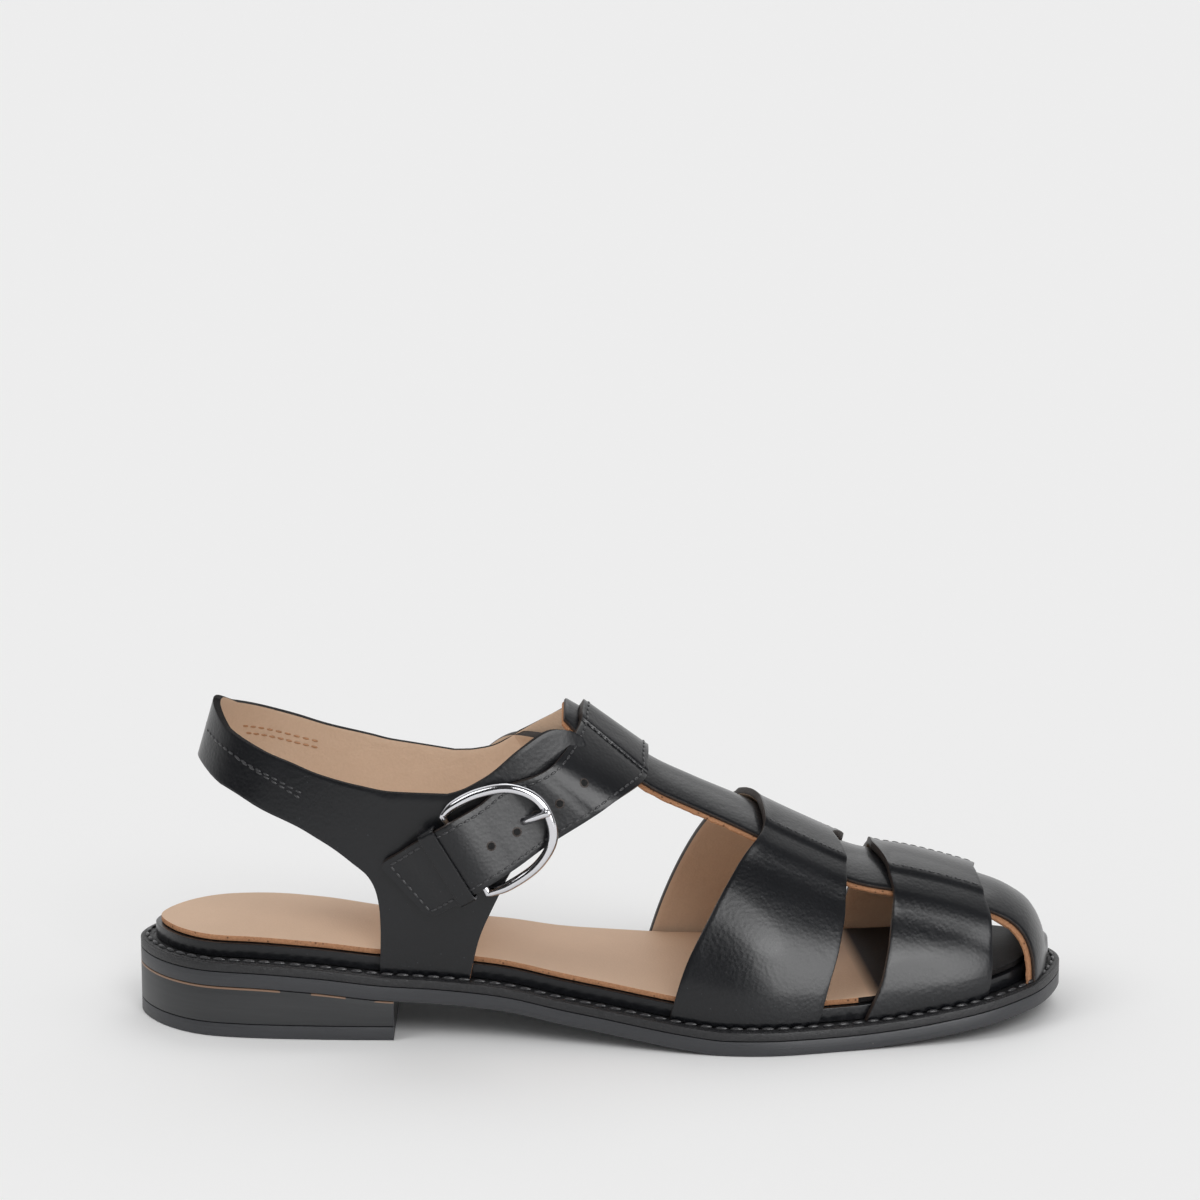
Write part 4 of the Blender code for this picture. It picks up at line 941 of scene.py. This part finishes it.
def vamp_base(edges):
    """Points on the last under a vamp strap, its lifts, and the rows where its two ridges end."""
    middle_x = x_of((edges[-1][0].rear + edges[-1][0].front) / 2)
    half = T_BAR_HALF_WIDTH * form_at(middle_x, "bar_width") + SEAM_GAP
    bar_lift = LEATHER - SEWN_IN
    ridge = RIDGE_GIRTH
    high = bar_lift + RIDGE_RISE
    ridge_foot = ridge + RIDGE_FOOT
    over = [(ridge * share, high) for share in np.linspace(0.0, CROWN_SHARE, CROWN_ROWS)]
    over += [(ridge, bar_lift + 0.6 * RIDGE_RISE), (ridge + RIDGE_SHOULDER, bar_lift + 0.1 * RIDGE_RISE)]
    over += [(ridge_foot + (half - ridge_foot) * share, bar_lift) for share in (0.0, 0.5, 1.0)]
    ramp = [(half + share * STRAP_RAMP, bar_lift * (1 - share)**2 * (1 + 2 * share))
            for share in (0.12, 0.28, 0.44, 0.6, 0.8)]
    down = np.linspace(0.0, 1.0, DOWN_ROWS)
    half_rows = {}
    for side in (-1, 1):
        table = edges[side]
        girths = [row.girth for row in table]
        middle_girth = girth_of(upright_section(middle_x, side))
        foot = half + STRAP_RAMP
        rows, lifts = [], []
        for kind, item in [("over", item) for item in over + ramp] + [("down", share) for share in down]:
            nominal = item[0] if kind == "over" else foot + item * (middle_girth - foot)
            share = nominal / middle_girth
            rear = x_of(float(blend_table(girths, [row.rear for row in table], share)))
            front = x_of(float(blend_table(girths, [row.front for row in table], share)))
            points = []
            for x in np.linspace(rear, front, VAMP_COLUMNS):
                section = upright_section(x, side)
                girth = item[0] if kind == "over" else foot + item * (girth_of(section) - foot)
                points.append(at_girth(section, girth))
            rows.append(points)
            lifts.append(item[1] if kind == "over" else 0.0)
        half_rows[side] = (rows, lifts)
    base = np.array(half_rows[-1][0][::-1] + half_rows[1][0][1:])
    lift = np.array(half_rows[-1][1][::-1] + half_rows[1][1][1:])
    rear_share = np.clip(1 - np.linspace(0, 1, VAMP_COLUMNS) / RIM_SHARE, 0, 1)**2
    raised = lift[:, None] + RIM_RISE * rear_share[None, :] * (lift / high)[:, None]
    away = axis_points(base, float(footbed_bottom(x_of(edges[-1][0].rear))))
    crest_row = len(half_rows[-1][0]) - 1
    return base, raised, away, crest_row


seams = []
for name, edges in (("rear_vamp_leather", REAR_STRAP), ("front_vamp_leather", FRONT_STRAP)):
    base, lift, away, crest_row = vamp_base(edges)
    inner, outer = leather_faces(base, lift, away, LEATHER, (0, -1))
    strap_piece(name, inner, outer, [black_leather, soft_lining, dark_edge])
    rows_to_seam = (CROWN_ROWS - 1) * (RIDGE_GIRTH - SEAM_INSIDE_RIDGE) / (CROWN_SHARE * RIDGE_GIRTH)
    for side in (-1, 1):
        row = crest_row + side * rows_to_seam
        places = [(row, column) for column in np.linspace(*SEAM_COLUMNS, 60)]
        seams.append(seam_on(outer, away, places, SEAM_PITCH))

# Quarter and heel sling: one piece of lined leather round the heel, with a stem down to the welt on
# each side and a wing up to the T-bar. Two double rows of stitches hold the sling's lining at the back.
QUARTER_BULGE = 0.0015
SLING_LEAN = 0.0205
LEAN_REACH = 0.50
BULGE_FADE = 0.25
TURN_REACH = 0.75
QUARTER_ROWS = 20
QUARTER_HEART = 0.03
RAW_FROM = 0.055
RAW_BELOW = 0.0215
BACK_SHARE = 5
BACK_EASE = 1.5
SPAN_COLUMNS = {"wing": 44, "stem": 16, "sling": 54}
AnkleRow = namedtuple("AnkleRow", "along outer_share inner_share")
ANKLE_PLAN = [
    AnkleRow(0.020, 0.80, 0.80),
    AnkleRow(0.120, 0.84, 0.84),
    AnkleRow(0.215, 0.96, 1.05),
    AnkleRow(0.310, 1.02, 1.28),
    AnkleRow(0.393, 0.86, 1.32),
    AnkleRow(0.447, 0.62, 0.98),
    AnkleRow(0.475, 0.44, 0.70),
]
EdgeRow = namedtuple("EdgeRow", "low_along low_height collar_along collar_height")
WING_SPAN = [
    EdgeRow(0.486, 0.850, 0.476, 0.908),
    EdgeRow(0.472, 0.750, 0.462, 0.936),
    EdgeRow(0.435, 0.640, 0.440, 0.940),
    EdgeRow(0.407, 0.535, 0.412, 0.890),
    EdgeRow(0.391, 0.445, 0.385, 0.826),
    EdgeRow(0.375, 0.345, 0.362, 0.787),
    EdgeRow(0.367, 0.270, 0.350, 0.772),
    EdgeRow(0.361, None, 0.338, 0.762),
]
STEM_SPAN = [
    EdgeRow(0.361, None, 0.338, 0.762),
    EdgeRow(0.265, None, 0.277, 0.766),
]
SLING_SPAN = [
    EdgeRow(0.265, None, 0.277, 0.766),
    EdgeRow(0.266, 0.345, 0.268, 0.769),
    EdgeRow(0.263, 0.445, 0.260, 0.773),
    EdgeRow(0.254, 0.505, 0.250, 0.779),
    EdgeRow(0.237, 0.548, 0.232, 0.789),
    EdgeRow(0.205, 0.612, 0.200, 0.812),
    EdgeRow(0.162, 0.674, 0.160, 0.854),
    EdgeRow(0.110, 0.747, 0.112, 0.911),
    EdgeRow(0.062, 0.794, 0.084, 0.960),
    EdgeRow(None, 0.806, None, 0.979),
]

# How much higher the collar lies on the inner side, as a share of the collar's height
InnerRow = namedtuple("InnerRow", "along rise")
INNER_COLLAR = [
    InnerRow(0.050, 0.000),
    InnerRow(0.110, 0.020),
    InnerRow(0.200, 0.022),
    InnerRow(0.277, 0.012),
    InnerRow(0.338, -0.006),
    InnerRow(0.385, -0.050),
    InnerRow(0.412, -0.070),
    InnerRow(0.440, -0.070),
    InnerRow(0.462, -0.030),
    InnerRow(0.476, -0.010),
]


def quarter_point(turn, rise):
    """Point on the quarter's inner face: turn runs from the heel's back, outer side below zero."""
    steps = FEATHER_TOE if turn < 0 else len(FEATHER) - FEATHER_TOE
    at = -turn * steps if turn < 0 else len(FEATHER) - turn * steps
    ring = np.vstack([FEATHER, FEATHER[:1]])
    low = np.array([np.interp(at, np.arange(len(ring)), ring[:, k]) for k in (0, 1)])
    column = "outer_share" if turn < 0 else "inner_share"
    shares = [getattr(row, column) for row in ANKLE_PLAN]
    inward = float(blend_table([row.along for row in ANKLE_PLAN], shares, share_of(low[0])))
    back = FEATHER[0, 0]
    lean = SLING_LEAN * max(0.0, 1.0 - (low[0] - back) / (LEAN_REACH * SOLE_LENGTH))
    high = np.array([low[0] + lean, low[1] * inward])
    flat = low * (1 - rise) + high * rise
    bulge = QUARTER_BULGE * math.sin(math.pi * min(max(rise, 0.0), 1.0))
    flat[1] += math.copysign(bulge, flat[1]) * min(1.0, abs(low[1]) / (BULGE_FADE * HEEL_WIDTH))
    base_z = float(footbed_bottom(low[0]))
    return np.array([flat[0], flat[1], base_z * (1 - rise) + COLLAR_HEIGHT * rise])


def find_on_quarter(side, x, z):
    """Turn and rise of the quarter's point at a place along and a height."""
    rise = (z - float(footbed_bottom(x))) / (COLLAR_HEIGHT - float(footbed_bottom(x)))
    turns = np.linspace(0.0, TURN_REACH, 200)
    for _ in range(4):
        points = np.array([quarter_point(side * max(turn, 1e-6), rise) for turn in turns])
        turn = float(np.interp(x, points[:, 0], turns))
        base_z = float(np.interp(x, points[:, 0], points[:, 2]))
        rise += (z - base_z) / (COLLAR_HEIGHT - float(footbed_bottom(x)))
    return side * max(turn, 1e-6), rise


def quarter_edge(side, along, height):
    if along is None:
        low = float(footbed_bottom(FEATHER[0, 0]))
        return 0.0, (height * COLLAR_HEIGHT - low) / (COLLAR_HEIGHT - low)
    if height is None:
        return find_on_quarter(side, x_of(along), float(footbed_bottom(x_of(along))))[0], 0.0
    return find_on_quarter(side, x_of(along), height * COLLAR_HEIGHT)


def collar_rise(side, row):
    if side < 0 or row.collar_along is None:
        return 0.0
    rises = [place.rise for place in INNER_COLLAR]
    return float(blend_table([place.along for place in INNER_COLLAR], rises, row.collar_along))


def quarter_side(side):
    """Turns and rises of one side's lower edge and collar, from the wing's tip to the heel's back."""
    pieces = []
    for name, span in (("wing", WING_SPAN), ("stem", STEM_SPAN), ("sling", SLING_SPAN)):
        knots = [(*quarter_edge(side, row.low_along, row.low_height),
                  *quarter_edge(side, row.collar_along, row.collar_height + collar_rise(side, row)))
                 for row in span]
        points = curve_through(knots, SPAN_COLUMNS[name] + 1)
        if name == "sling":
            ease = np.linspace(1.0, 0.0, len(points) // BACK_SHARE + 1)[:, None]**BACK_EASE
            points[-len(ease):, ::2] = points[-len(ease), ::2] * ease
        pieces.append(points if name == "sling" else points[:-1])
    return np.vstack(pieces)


def on_quarter(side, along, height, stand_off):
    """Point outside the quarter's inner face and the way out from it there."""
    turn, rise = find_on_quarter(side, x_of(along), height * COLLAR_HEIGHT)
    step = 0.004
    point = quarter_point(turn, rise)
    ahead = quarter_point(turn + step, rise) - point
    upward = quarter_point(turn, rise + step) - point
    out = np.cross(ahead, upward)
    out /= np.linalg.norm(out)
    out *= math.copysign(1.0, out[1] * side)
    return point + out * stand_off, out


edges = np.vstack([quarter_side(-1), quarter_side(1)[-2::-1]])
shares = np.linspace(0.0, 1.0, QUARTER_ROWS)
base = np.array([[quarter_point(low_turn + (top_turn - low_turn) * share,
                                low_rise + (top_rise - low_rise) * share) for share in shares]
                 for low_turn, low_rise, top_turn, top_rise in edges])
away = axis_points(base, QUARTER_HEART)
quarter_inner, quarter_outer = leather_faces(base, np.zeros(base.shape[:2]), away)
seats = footbed_bottom(base[:, 0, 0])
on_welt = base[:, 0, 2] < seats + 3 * SEAM_GAP
for face in (quarter_inner, quarter_outer):
    face[on_welt, 0, 2] = seats[on_welt]
stem_edge = raw_cut("edge of the quarter",
                    lambda along, height: (along > RAW_FROM) * (RAW_BELOW - height > 0.0))
strap_piece("quarter_leather", quarter_inner, quarter_outer, [black_leather, soft_lining, stem_edge])

SlingSeam = namedtuple("SlingSeam", "side stand_off from_along from_height to_along to_height")
SLING_SEAMS = [
    SlingSeam(-1, LEATHER, 0.080, 0.896, 0.186, 0.752),
    SlingSeam(-1, LEATHER, 0.117, 0.844, 0.184, 0.737),
    SlingSeam(1, 0.0, 0.109, 0.854, 0.191, 0.780),
    SlingSeam(1, 0.0, 0.112, 0.828, 0.190, 0.760),
    SlingSeam(1, LEATHER, 0.080, 0.896, 0.186, 0.772),
    SlingSeam(1, LEATHER, 0.117, 0.850, 0.184, 0.757),
    SlingSeam(-1, 0.0, 0.109, 0.840, 0.191, 0.760),
    SlingSeam(-1, 0.0, 0.112, 0.815, 0.190, 0.742),
]
tan_seams = []
for row in SLING_SEAMS:
    line = [on_quarter(row.side, row.from_along + (row.to_along - row.from_along) * share,
                       row.from_height + (row.to_height - row.from_height) * share, row.stand_off)
            for share in np.linspace(0.0, 1.0, 24)]
    path = np.array([point for point, out in line])
    points, ahead = evenly(path, SEAM_PITCH)
    ways = np.array([out * (1 if row.stand_off else -1) for point, out in line])
    nearest = [int(np.argmin(np.linalg.norm(path - point, axis=1))) for point in points]
    (seams if row.stand_off else tan_seams).append((points, ahead, ways[nearest]))

# Ankle strap: a single black strap sewn to the inner wing. It lies over the T-bar in a ridge, comes down
# to the buckle on the outer side and ends, clipped, low on the quarter. Rows of stitches follow its
# edges, and five punched holes run down its middle, each a near-black dome of painted shade in a dark rim.
STRAP_WIDTH = 0.0205
ROWS_PER_KNOT = 20
STRAP_COLUMNS = 17
STRAP_HEART = 0.04
STRAP_RIDGE = (3.15, 6.75)
STRAP_RIDGE_RISE = 0.0006
RIDGE_FLANK = 0.22
WING_KNOT = 7.45
WING_REACH = 0.75
WING_LIFT = 0.0012
EDGE_SEAM_IN = 0.0017
END_SEAM_IN = 0.0020
FIRST_SEAM_ROW = 6.0
CROSS_SEAM_KNOTS = (6.65, 3.25)
STRAP_PITCH = 0.0023
STRAP_STITCH = (0.0020, 0.0007, 0.00045)
END_CORNER = 0.0022
HOLE_RADIUS = 0.00112
HOLE_RISE = 0.00022
RIM_RADIUS = 1.22 * HOLE_RADIUS
HOLE_RIM_RISE = 0.00014
HoleRow = namedtuple("HoleRow", "knot share")
HOLES = [HoleRow(7.90, 0.50), HoleRow(8.40, 0.55), HoleRow(8.85, 0.55), HoleRow(9.45, 0.60),
         HoleRow(10.25, 0.55)]
# Middle of the strap beside the foot, how far its width slants forward, and how far its inner face
# stands off the inner face of the quarter
BesideRow = namedtuple("BesideRow", "along height slant stand_off")
INNER_STRAP = [
    BesideRow(0.386, 0.645, 34.0, LEATHER - 3 * SEWN_IN),
    BesideRow(0.4225, 0.715, 38.0, LEATHER - 3 * SEWN_IN),
]
OUTER_STRAP = [
    BesideRow(0.4715, 0.765, 52.0, LEATHER + 0.0012),
    BesideRow(0.4190, 0.700, 36.0, LEATHER + 0.0014),
    BesideRow(0.3880, 0.640, 31.5, LEATHER + 0.0030),
    BesideRow(0.3570, 0.590, 29.0, LEATHER + 0.0053),
    BesideRow(0.3285, 0.540, 33.0, LEATHER + 0.0044),
    BesideRow(0.3110, 0.503, 37.5, LEATHER + 0.0018),
    BesideRow(0.2935, 0.475, 43.5, LEATHER + 0.0008),
]
BAR_ROW = 3

# The same over the T-bar, each edge at a girth from the crest, lifted by a share of the leather
OverRow = namedtuple("OverRow", "rear_along rear_girth front_along front_girth lift")
OVER_STRAP = [
    OverRow(0.450, 0.0190, 0.524, 0.0200, 0.60),
    OverRow(0.463, 0.0145, 0.536, 0.0150, 1.0),
    OverRow(0.470, 0.0075, 0.541, 0.0075, 1.0),
    OverRow(0.472, 0.0000, 0.541, 0.0000, 1.0),
    OverRow(0.471, -0.0060, 0.541, -0.0075, 1.0),
    OverRow(0.470, -0.0108, 0.538, -0.0150, 1.0),
]


def beside_edges(side, row):
    """Rear and front edge points of the ankle strap beside the foot, and the ways out from them."""
    slant = math.radians(row.slant)
    reach_along = math.sin(slant) * STRAP_WIDTH / 2 / SOLE_LENGTH
    reach_up = math.cos(slant) * STRAP_WIDTH / 2 / COLLAR_HEIGHT
    rear = on_quarter(side, row.along - reach_along, row.height + reach_up, row.stand_off)
    front = on_quarter(side, row.along + reach_along, row.height - reach_up, row.stand_off)
    return rear, front


def over_point(row, edge):
    """Point over the T-bar, raised by a share of the leather, less what the seam takes in."""
    x = x_of(getattr(row, edge + "_along"))
    girth = getattr(row, edge + "_girth")
    side = -1 if girth < 0 else 1
    lift = row.lift * (LEATHER - SEWN_IN)
    section = upright_section(x, side)
    step = 0.001
    ahead = at_girth(upright_section(x + step, side), abs(girth)) - at_girth(section, abs(girth))
    around = at_girth(section, abs(girth) + step) - at_girth(section, max(abs(girth) - step, 0.0))
    out = np.cross(ahead, around)
    out /= np.linalg.norm(out)
    return at_girth(section, abs(girth)) + out * math.copysign(lift, out[2])


def ankle_strap_rows():
    rows = []
    for side, table in ((1, INNER_STRAP), (0, OVER_STRAP), (-1, OUTER_STRAP)):
        for row in table:
            if side:
                rear, front = (edge[0] for edge in beside_edges(side, row))
            else:
                rear, front = over_point(row, "rear"), over_point(row, "front")
            rows.append(np.concatenate([rear, front]))
    return np.array(rows)


def tube(name, points, sides, finish, radii, closed=False, flat=1.0, segments=14):
    """Round bar along a path, its section upright on one way to its side, and flatter below if asked."""
    points = np.asarray(points, float)
    ways = np.gradient(points, axis=0)
    if closed:
        ways = np.roll(points, -1, axis=0) - np.roll(points, 1, axis=0)
        points, ways, radii = (np.concatenate([item, item[:1]]) for item in (points, ways, radii))
    ways /= np.linalg.norm(ways, axis=1)[:, None]
    up = np.asarray(sides, float) - ways * (ways @ np.asarray(sides, float))[:, None]
    up /= np.linalg.norm(up, axis=1)[:, None]
    beside = np.cross(ways, up)
    turns = np.linspace(0.0, 2 * math.pi, segments + 1)
    bm = bmesh.new()
    bmesh.ops.create_grid(bm, x_segments=len(points) - 1, y_segments=segments, size=1.0)
    for point in bm.verts:
        row = round((point.co.x + 1) / 2 * (len(points) - 1))
        turn = turns[round((point.co.y + 1) / 2 * segments)]
        height = math.sin(turn) * (1.0 if math.sin(turn) > 0 else flat)
        point.co = points[row] + radii[row] * (beside[row] * math.cos(turn) + up[row] * height)
    bmesh.ops.remove_doubles(bm, verts=bm.verts, dist=RING_WELD)
    bmesh.ops.recalc_face_normals(bm, faces=bm.faces)
    return keep(name, bm, [finish], smooth_angle=50)


def rounded_radii(count, radius, cap):
    """Radii along a bar whose two ends are domed over a number of rows."""
    steps = np.minimum(np.arange(count), np.arange(count)[::-1]) / cap
    return radius * np.sqrt(np.clip(1 - (1 - np.clip(steps, 0, 1))**2, 0, 1))


knots = ankle_strap_rows()
strap_rows = ROWS_PER_KNOT * (len(knots) - 1) + 1
strap_edges = curve_through(knots, strap_rows)
strap_line = (strap_edges[:, :3] + strap_edges[:, 3:]) / 2
run = np.concatenate([[0.0], np.cumsum(np.linalg.norm(np.diff(strap_line, axis=0), axis=1))])
from_end = run[-1] - run
corner = END_CORNER - np.sqrt(np.clip(END_CORNER**2 - np.clip(END_CORNER - from_end, 0, None)**2, 0, None))
narrowed = corner / np.linalg.norm(strap_edges[:, 3:] - strap_edges[:, :3], axis=1)
shares = narrowed[:, None] + (1 - 2 * narrowed)[:, None] * np.linspace(0.0, 1.0, STRAP_COLUMNS)[None, :]
shares = shares[..., None]
ankle_base = strap_edges[:, None, :3] * (1 - shares) + strap_edges[:, None, 3:] * shares
ankle_away = axis_points(ankle_base, STRAP_HEART)
at_knot = np.arange(strap_rows) / ROWS_PER_KNOT
ridge = np.clip((at_knot - STRAP_RIDGE[0]) / RIDGE_FLANK, 0, 1) * np.clip(
    (STRAP_RIDGE[1] - at_knot) / RIDGE_FLANK, 0, 1)
ridge = STRAP_RIDGE_RISE * ridge * ridge * (3 - 2 * ridge)
ridge += WING_LIFT * np.clip(1 - ((at_knot - WING_KNOT) / WING_REACH)**2, 0, 1)
ankle_inner, ankle_outer = leather_faces(ankle_base, ridge[:, None] * np.ones(STRAP_COLUMNS), ankle_away)
strap_piece("ankle_strap_leather", ankle_inner, ankle_outer, [black_leather, soft_lining, dark_edge])

last_stitch = float(np.argmin(np.abs(from_end - END_SEAM_IN)))
for distance in (EDGE_SEAM_IN, -EDGE_SEAM_IN):
    places = [(row, column_in(ankle_outer, row, distance))
              for row in np.linspace(FIRST_SEAM_ROW, last_stitch, 200)]
    seams.append(seam_on(ankle_outer, ankle_away, places, STRAP_PITCH))
for row in (last_stitch, *(knot * ROWS_PER_KNOT for knot in CROSS_SEAM_KNOTS)):
    first, last = (column_in(ankle_outer, row, distance) for distance in (EDGE_SEAM_IN, -EDGE_SEAM_IN))
    places = [(row, column) for column in np.linspace(first, last, 30)]
    seams.append(seam_on(ankle_outer, ankle_away, places, STRAP_PITCH))
sew("strap_thread", seams, thread_with_painted_glint, STRAP_STITCH)
tan_thread = Finish("waxed tan thread", Base_Color=shade(168, 124, 88), Roughness=0.5)
sew("lining_thread", tan_seams, tan_thread, STRAP_STITCH)

# The holes are not cut: each is a flat near-black matt dome of painted shade on the strap, ringed by a dark
# edge
hole_painted_shade = Finish("painted shade of the punched holes", Base_Color=shade(7, 7, 8), Roughness=0.9)
ankle_ways = grid_normals(ankle_outer, ankle_away)
bm = bmesh.new()
rims = bmesh.new()
for hole in HOLES:
    row, column = hole.knot * ROWS_PER_KNOT, hole.share * (STRAP_COLUMNS - 1)
    place = Vector(on_grid(ankle_outer, row, column))
    upward = Vector(on_grid(ankle_ways, row, column)).normalized()
    turn = upward.to_track_quat("Z", "X").to_matrix().to_4x4()
    for made, radius, height in ((bm, HOLE_RADIUS, HOLE_RISE), (rims, RIM_RADIUS, HOLE_RIM_RISE)):
        bmesh.ops.create_uvsphere(made, u_segments=20, v_segments=8, radius=radius,
                                  matrix=Matrix.Translation(place) @ turn @ Matrix.Diagonal(
                                      (1, 1, height / radius, 1)))
for name, made, finish in (("punched_holes_painted_shade", bm, hole_painted_shade), ("hole_rims", rims, dark_edge)):
    piece = keep(name, made, [finish], smooth_angle=80)
    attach(piece, "root")

# Buckle: a D frame of half-round polished silver and its round prong. A leather tab folded round the bar
# holds it, and a narrow leather keeper beside the tab holds the strap.
BAR_RADIUS = 0.0009
BUCKLE_GAP = 0.0002
FRAME_RADIUS = 0.00142
FRAME_LENGTH = 0.0258
FRAME_WIDTH = 0.0256
FRAME_RISE = 0.0016
PRONG_RADIUS = 0.0006
PRONG_WIDTH = 0.0011
TAB_THICKNESS = 0.0007
TAB_WIDTH = 0.014
KEEPER_WIDTH = 0.0048
KEEPER_THICKNESS = 0.0008
FRAME_FLAT = 0.7
FRAME_SAMPLES = 120
BAR_SHARES = (0.06, 0.94)
PRONG_SAMPLES = 160
PRONG_WIDENS = (0.5, 0.62)
TAB_HEART = 0.001
KEEPER_KNOT = 11.53
KEEPER_CORNER = 0.0006
# D frame as shares of its length along the strap and of half its width across, and how far each
# point has risen from the bar's level to the top of the strap
FrameRow = namedtuple("FrameRow", "along across rise size")
FRAME_LOOP = [
    FrameRow(0.00, -0.96, 0.00, 0.80),
    FrameRow(0.16, -1.05, 0.15, 1.00),
    FrameRow(0.45, -1.04, 0.45, 1.00),
    FrameRow(0.76, -0.84, 0.78, 1.00),
    FrameRow(0.96, -0.42, 1.00, 1.00),
    FrameRow(1.00, 0.10, 1.00, 1.00),
    FrameRow(0.90, 0.64, 0.90, 1.00),
    FrameRow(0.62, 0.98, 0.62, 1.00),
    FrameRow(0.25, 1.08, 0.25, 1.00),
    FrameRow(0.00, 1.02, 0.00, 0.80),
]

# Prong from the bar to the frame, along the strap and out from the bar's middle, and the same for the
# middle of the leather tab that wraps the bar
BuckleRow = namedtuple("BuckleRow", "along rise")
PRONG_PATH = [
    BuckleRow(0.0016, 0.0016),
    BuckleRow(0.0045, 0.0005),
    BuckleRow(0.0080, -0.0009),
    BuckleRow(0.0120, -0.00195),
    BuckleRow(0.0150, -0.0026),
    BuckleRow(0.0166, -0.00275),
    BuckleRow(0.0178, -0.0019),
    BuckleRow(0.0190, -0.0002),
    BuckleRow(0.0204, 0.0010),
]
PRONG_HOOK = (-220, 90)
PRONG_OVERHANG = BuckleRow(0.0012, -0.0002)
TAB_TAIL = [BuckleRow(0.0010, 0.95), BuckleRow(0.0031, -0.27)]


def buckle_frame_axes():
    """Middle of the bar and the buckle's own axes: along the strap, across it, and out of it."""
    wall = LEATHER + TAB_THICKNESS + 2 * BUCKLE_GAP + BAR_RADIUS + 2 * SEAM_GAP
    (rear, out_rear), (front, out_front) = beside_edges(-1, OUTER_STRAP[BAR_ROW]._replace(stand_off=wall))
    across = (front - rear) / np.linalg.norm(front - rear)
    out = out_rear + out_front
    out -= across * np.dot(out, across)
    out /= np.linalg.norm(out)
    along = np.cross(across, out)
    if along[0] < 0:
        along = -along
    return (rear + front) / 2, along, across, out


silver = Finish("polished silver metal", Base_Color=shade(226, 226, 230), Metallic=1.0)
at = silver.node("ShaderNodeTexCoord", output="Object")
silver.wear(Roughness=silver.noise(at, 300.0, 4.0) * 0.14 + 0.06)
silver.wear(Normal=silver.bump(0.25, 0.00003, silver.noise(at, 2600.0, 2.0)))

middle, along, across, out = buckle_frame_axes()
frame_knots = [(row.along * FRAME_LENGTH, row.across * FRAME_WIDTH / 2, row.rise * FRAME_RISE, row.size)
               for row in FRAME_LOOP]
loop = curve_through(frame_knots, FRAME_SAMPLES)
frame_path = [middle + along * a + across * c + out * r for a, c, r, size in loop]
bar = [frame_path[-1] + (frame_path[0] - frame_path[-1]) * share for share in np.linspace(*BAR_SHARES, 20)]
radii = FRAME_RADIUS * np.concatenate([loop[:, 3], np.full(len(bar), BAR_RADIUS / FRAME_RADIUS)])
buckle = tube("silver_frame", frame_path + bar, out, silver, radii, closed=True, flat=FRAME_FLAT,
              segments=20)
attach(buckle, "root")
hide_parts("buckle_frame")

ring = BAR_RADIUS + BUCKLE_GAP + PRONG_RADIUS
hook = [(ring * math.cos(angle), ring * math.sin(angle))
        for angle in np.radians(np.linspace(*PRONG_HOOK, 14))]
rest = FRAME_RISE + FRAME_RADIUS + PRONG_WIDTH + BUCKLE_GAP
tip = (FRAME_LENGTH + PRONG_OVERHANG.along, rest + PRONG_OVERHANG.rise)
prong_knots = hook + [tuple(row) for row in PRONG_PATH] + [(FRAME_LENGTH, rest), tip]
prong_path = curve_through([middle + along * a + out * r for a, r in prong_knots], PRONG_SAMPLES)
wider = np.interp(np.linspace(0.0, 1.0, PRONG_SAMPLES), PRONG_WIDENS, (1.0, PRONG_WIDTH / PRONG_RADIUS))
prong = tube("silver_prong", prong_path, across, silver,
             rounded_radii(PRONG_SAMPLES, PRONG_RADIUS, 4) * wider)
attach(prong, "root")
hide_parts("buckle_prong")

ring = BAR_RADIUS + BUCKLE_GAP
fold = np.radians(np.linspace(-90, 90, 15))
tab_path = ([(-row.along, -ring) for row in TAB_TAIL[::-1]]
            + [(ring * math.cos(angle), ring * math.sin(angle)) for angle in fold]
            + [(-row.along, ring * row.rise) for row in TAB_TAIL])
tab_steps = np.linspace(-0.5, 0.5, 9) * TAB_WIDTH
tab_base = np.array([[middle + along * a + out * r + across * step for step in tab_steps]
                     for a, r in tab_path])
tab_heart = np.array([[middle - along * TAB_HEART + across * step for step in tab_steps]] * len(tab_path))
tab_ways = grid_normals(tab_base, tab_heart)
tab = walled("tab_leather", tab_base, tab_base + tab_ways * TAB_THICKNESS,
             [black_leather, black_leather, dark_edge], rim=0.00015)
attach(tab, "root")
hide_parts("buckle_tab")

i = int(round(KEEPER_KNOT * ROWS_PER_KNOT))
heart = ankle_base[i].mean(axis=0)
wide = ankle_base[i, -1] - ankle_base[i, 0]
breadth = float(np.linalg.norm(wide))
wide /= breadth
length = ankle_base[i + 2].mean(axis=0) - ankle_base[i - 2].mean(axis=0)
length -= wide * np.dot(length, wide)
length /= np.linalg.norm(length)
thick = np.cross(length, wide)
thick *= math.copysign(1.0, -thick[1])
heart = heart + thick * LEATHER / 2
half_wide = breadth / 2 + 2 * SEAM_GAP - KEEPER_CORNER
half_thick = (LEATHER + 3 * SEAM_GAP) / 2 - KEEPER_CORNER
corners = [(half_wide, half_thick, 0), (-half_wide, half_thick, 90), (-half_wide, -half_thick, 180),
           (half_wide, -half_thick, 270)]
loops = {}
for face, radius in (("inner", KEEPER_CORNER), ("outer", KEEPER_CORNER + KEEPER_THICKNESS)):
    section = [(w + radius * math.cos(angle), h + radius * math.sin(angle)) for w, h, turn in corners
               for angle in np.radians(np.linspace(turn, turn + 90, 6))]
    loops[face] = np.array([[heart + wide * w + thick * h + length * step
                             for step in np.linspace(-0.5, 0.5, 5) * KEEPER_WIDTH]
                            for w, h in section + section[:1]])
keeper = walled("keeper_leather", loops["inner"], loops["outer"], [black_leather] * 3, rim=0.0002,
                ring=True)
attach(keeper, "root")
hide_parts("strap_keeper")
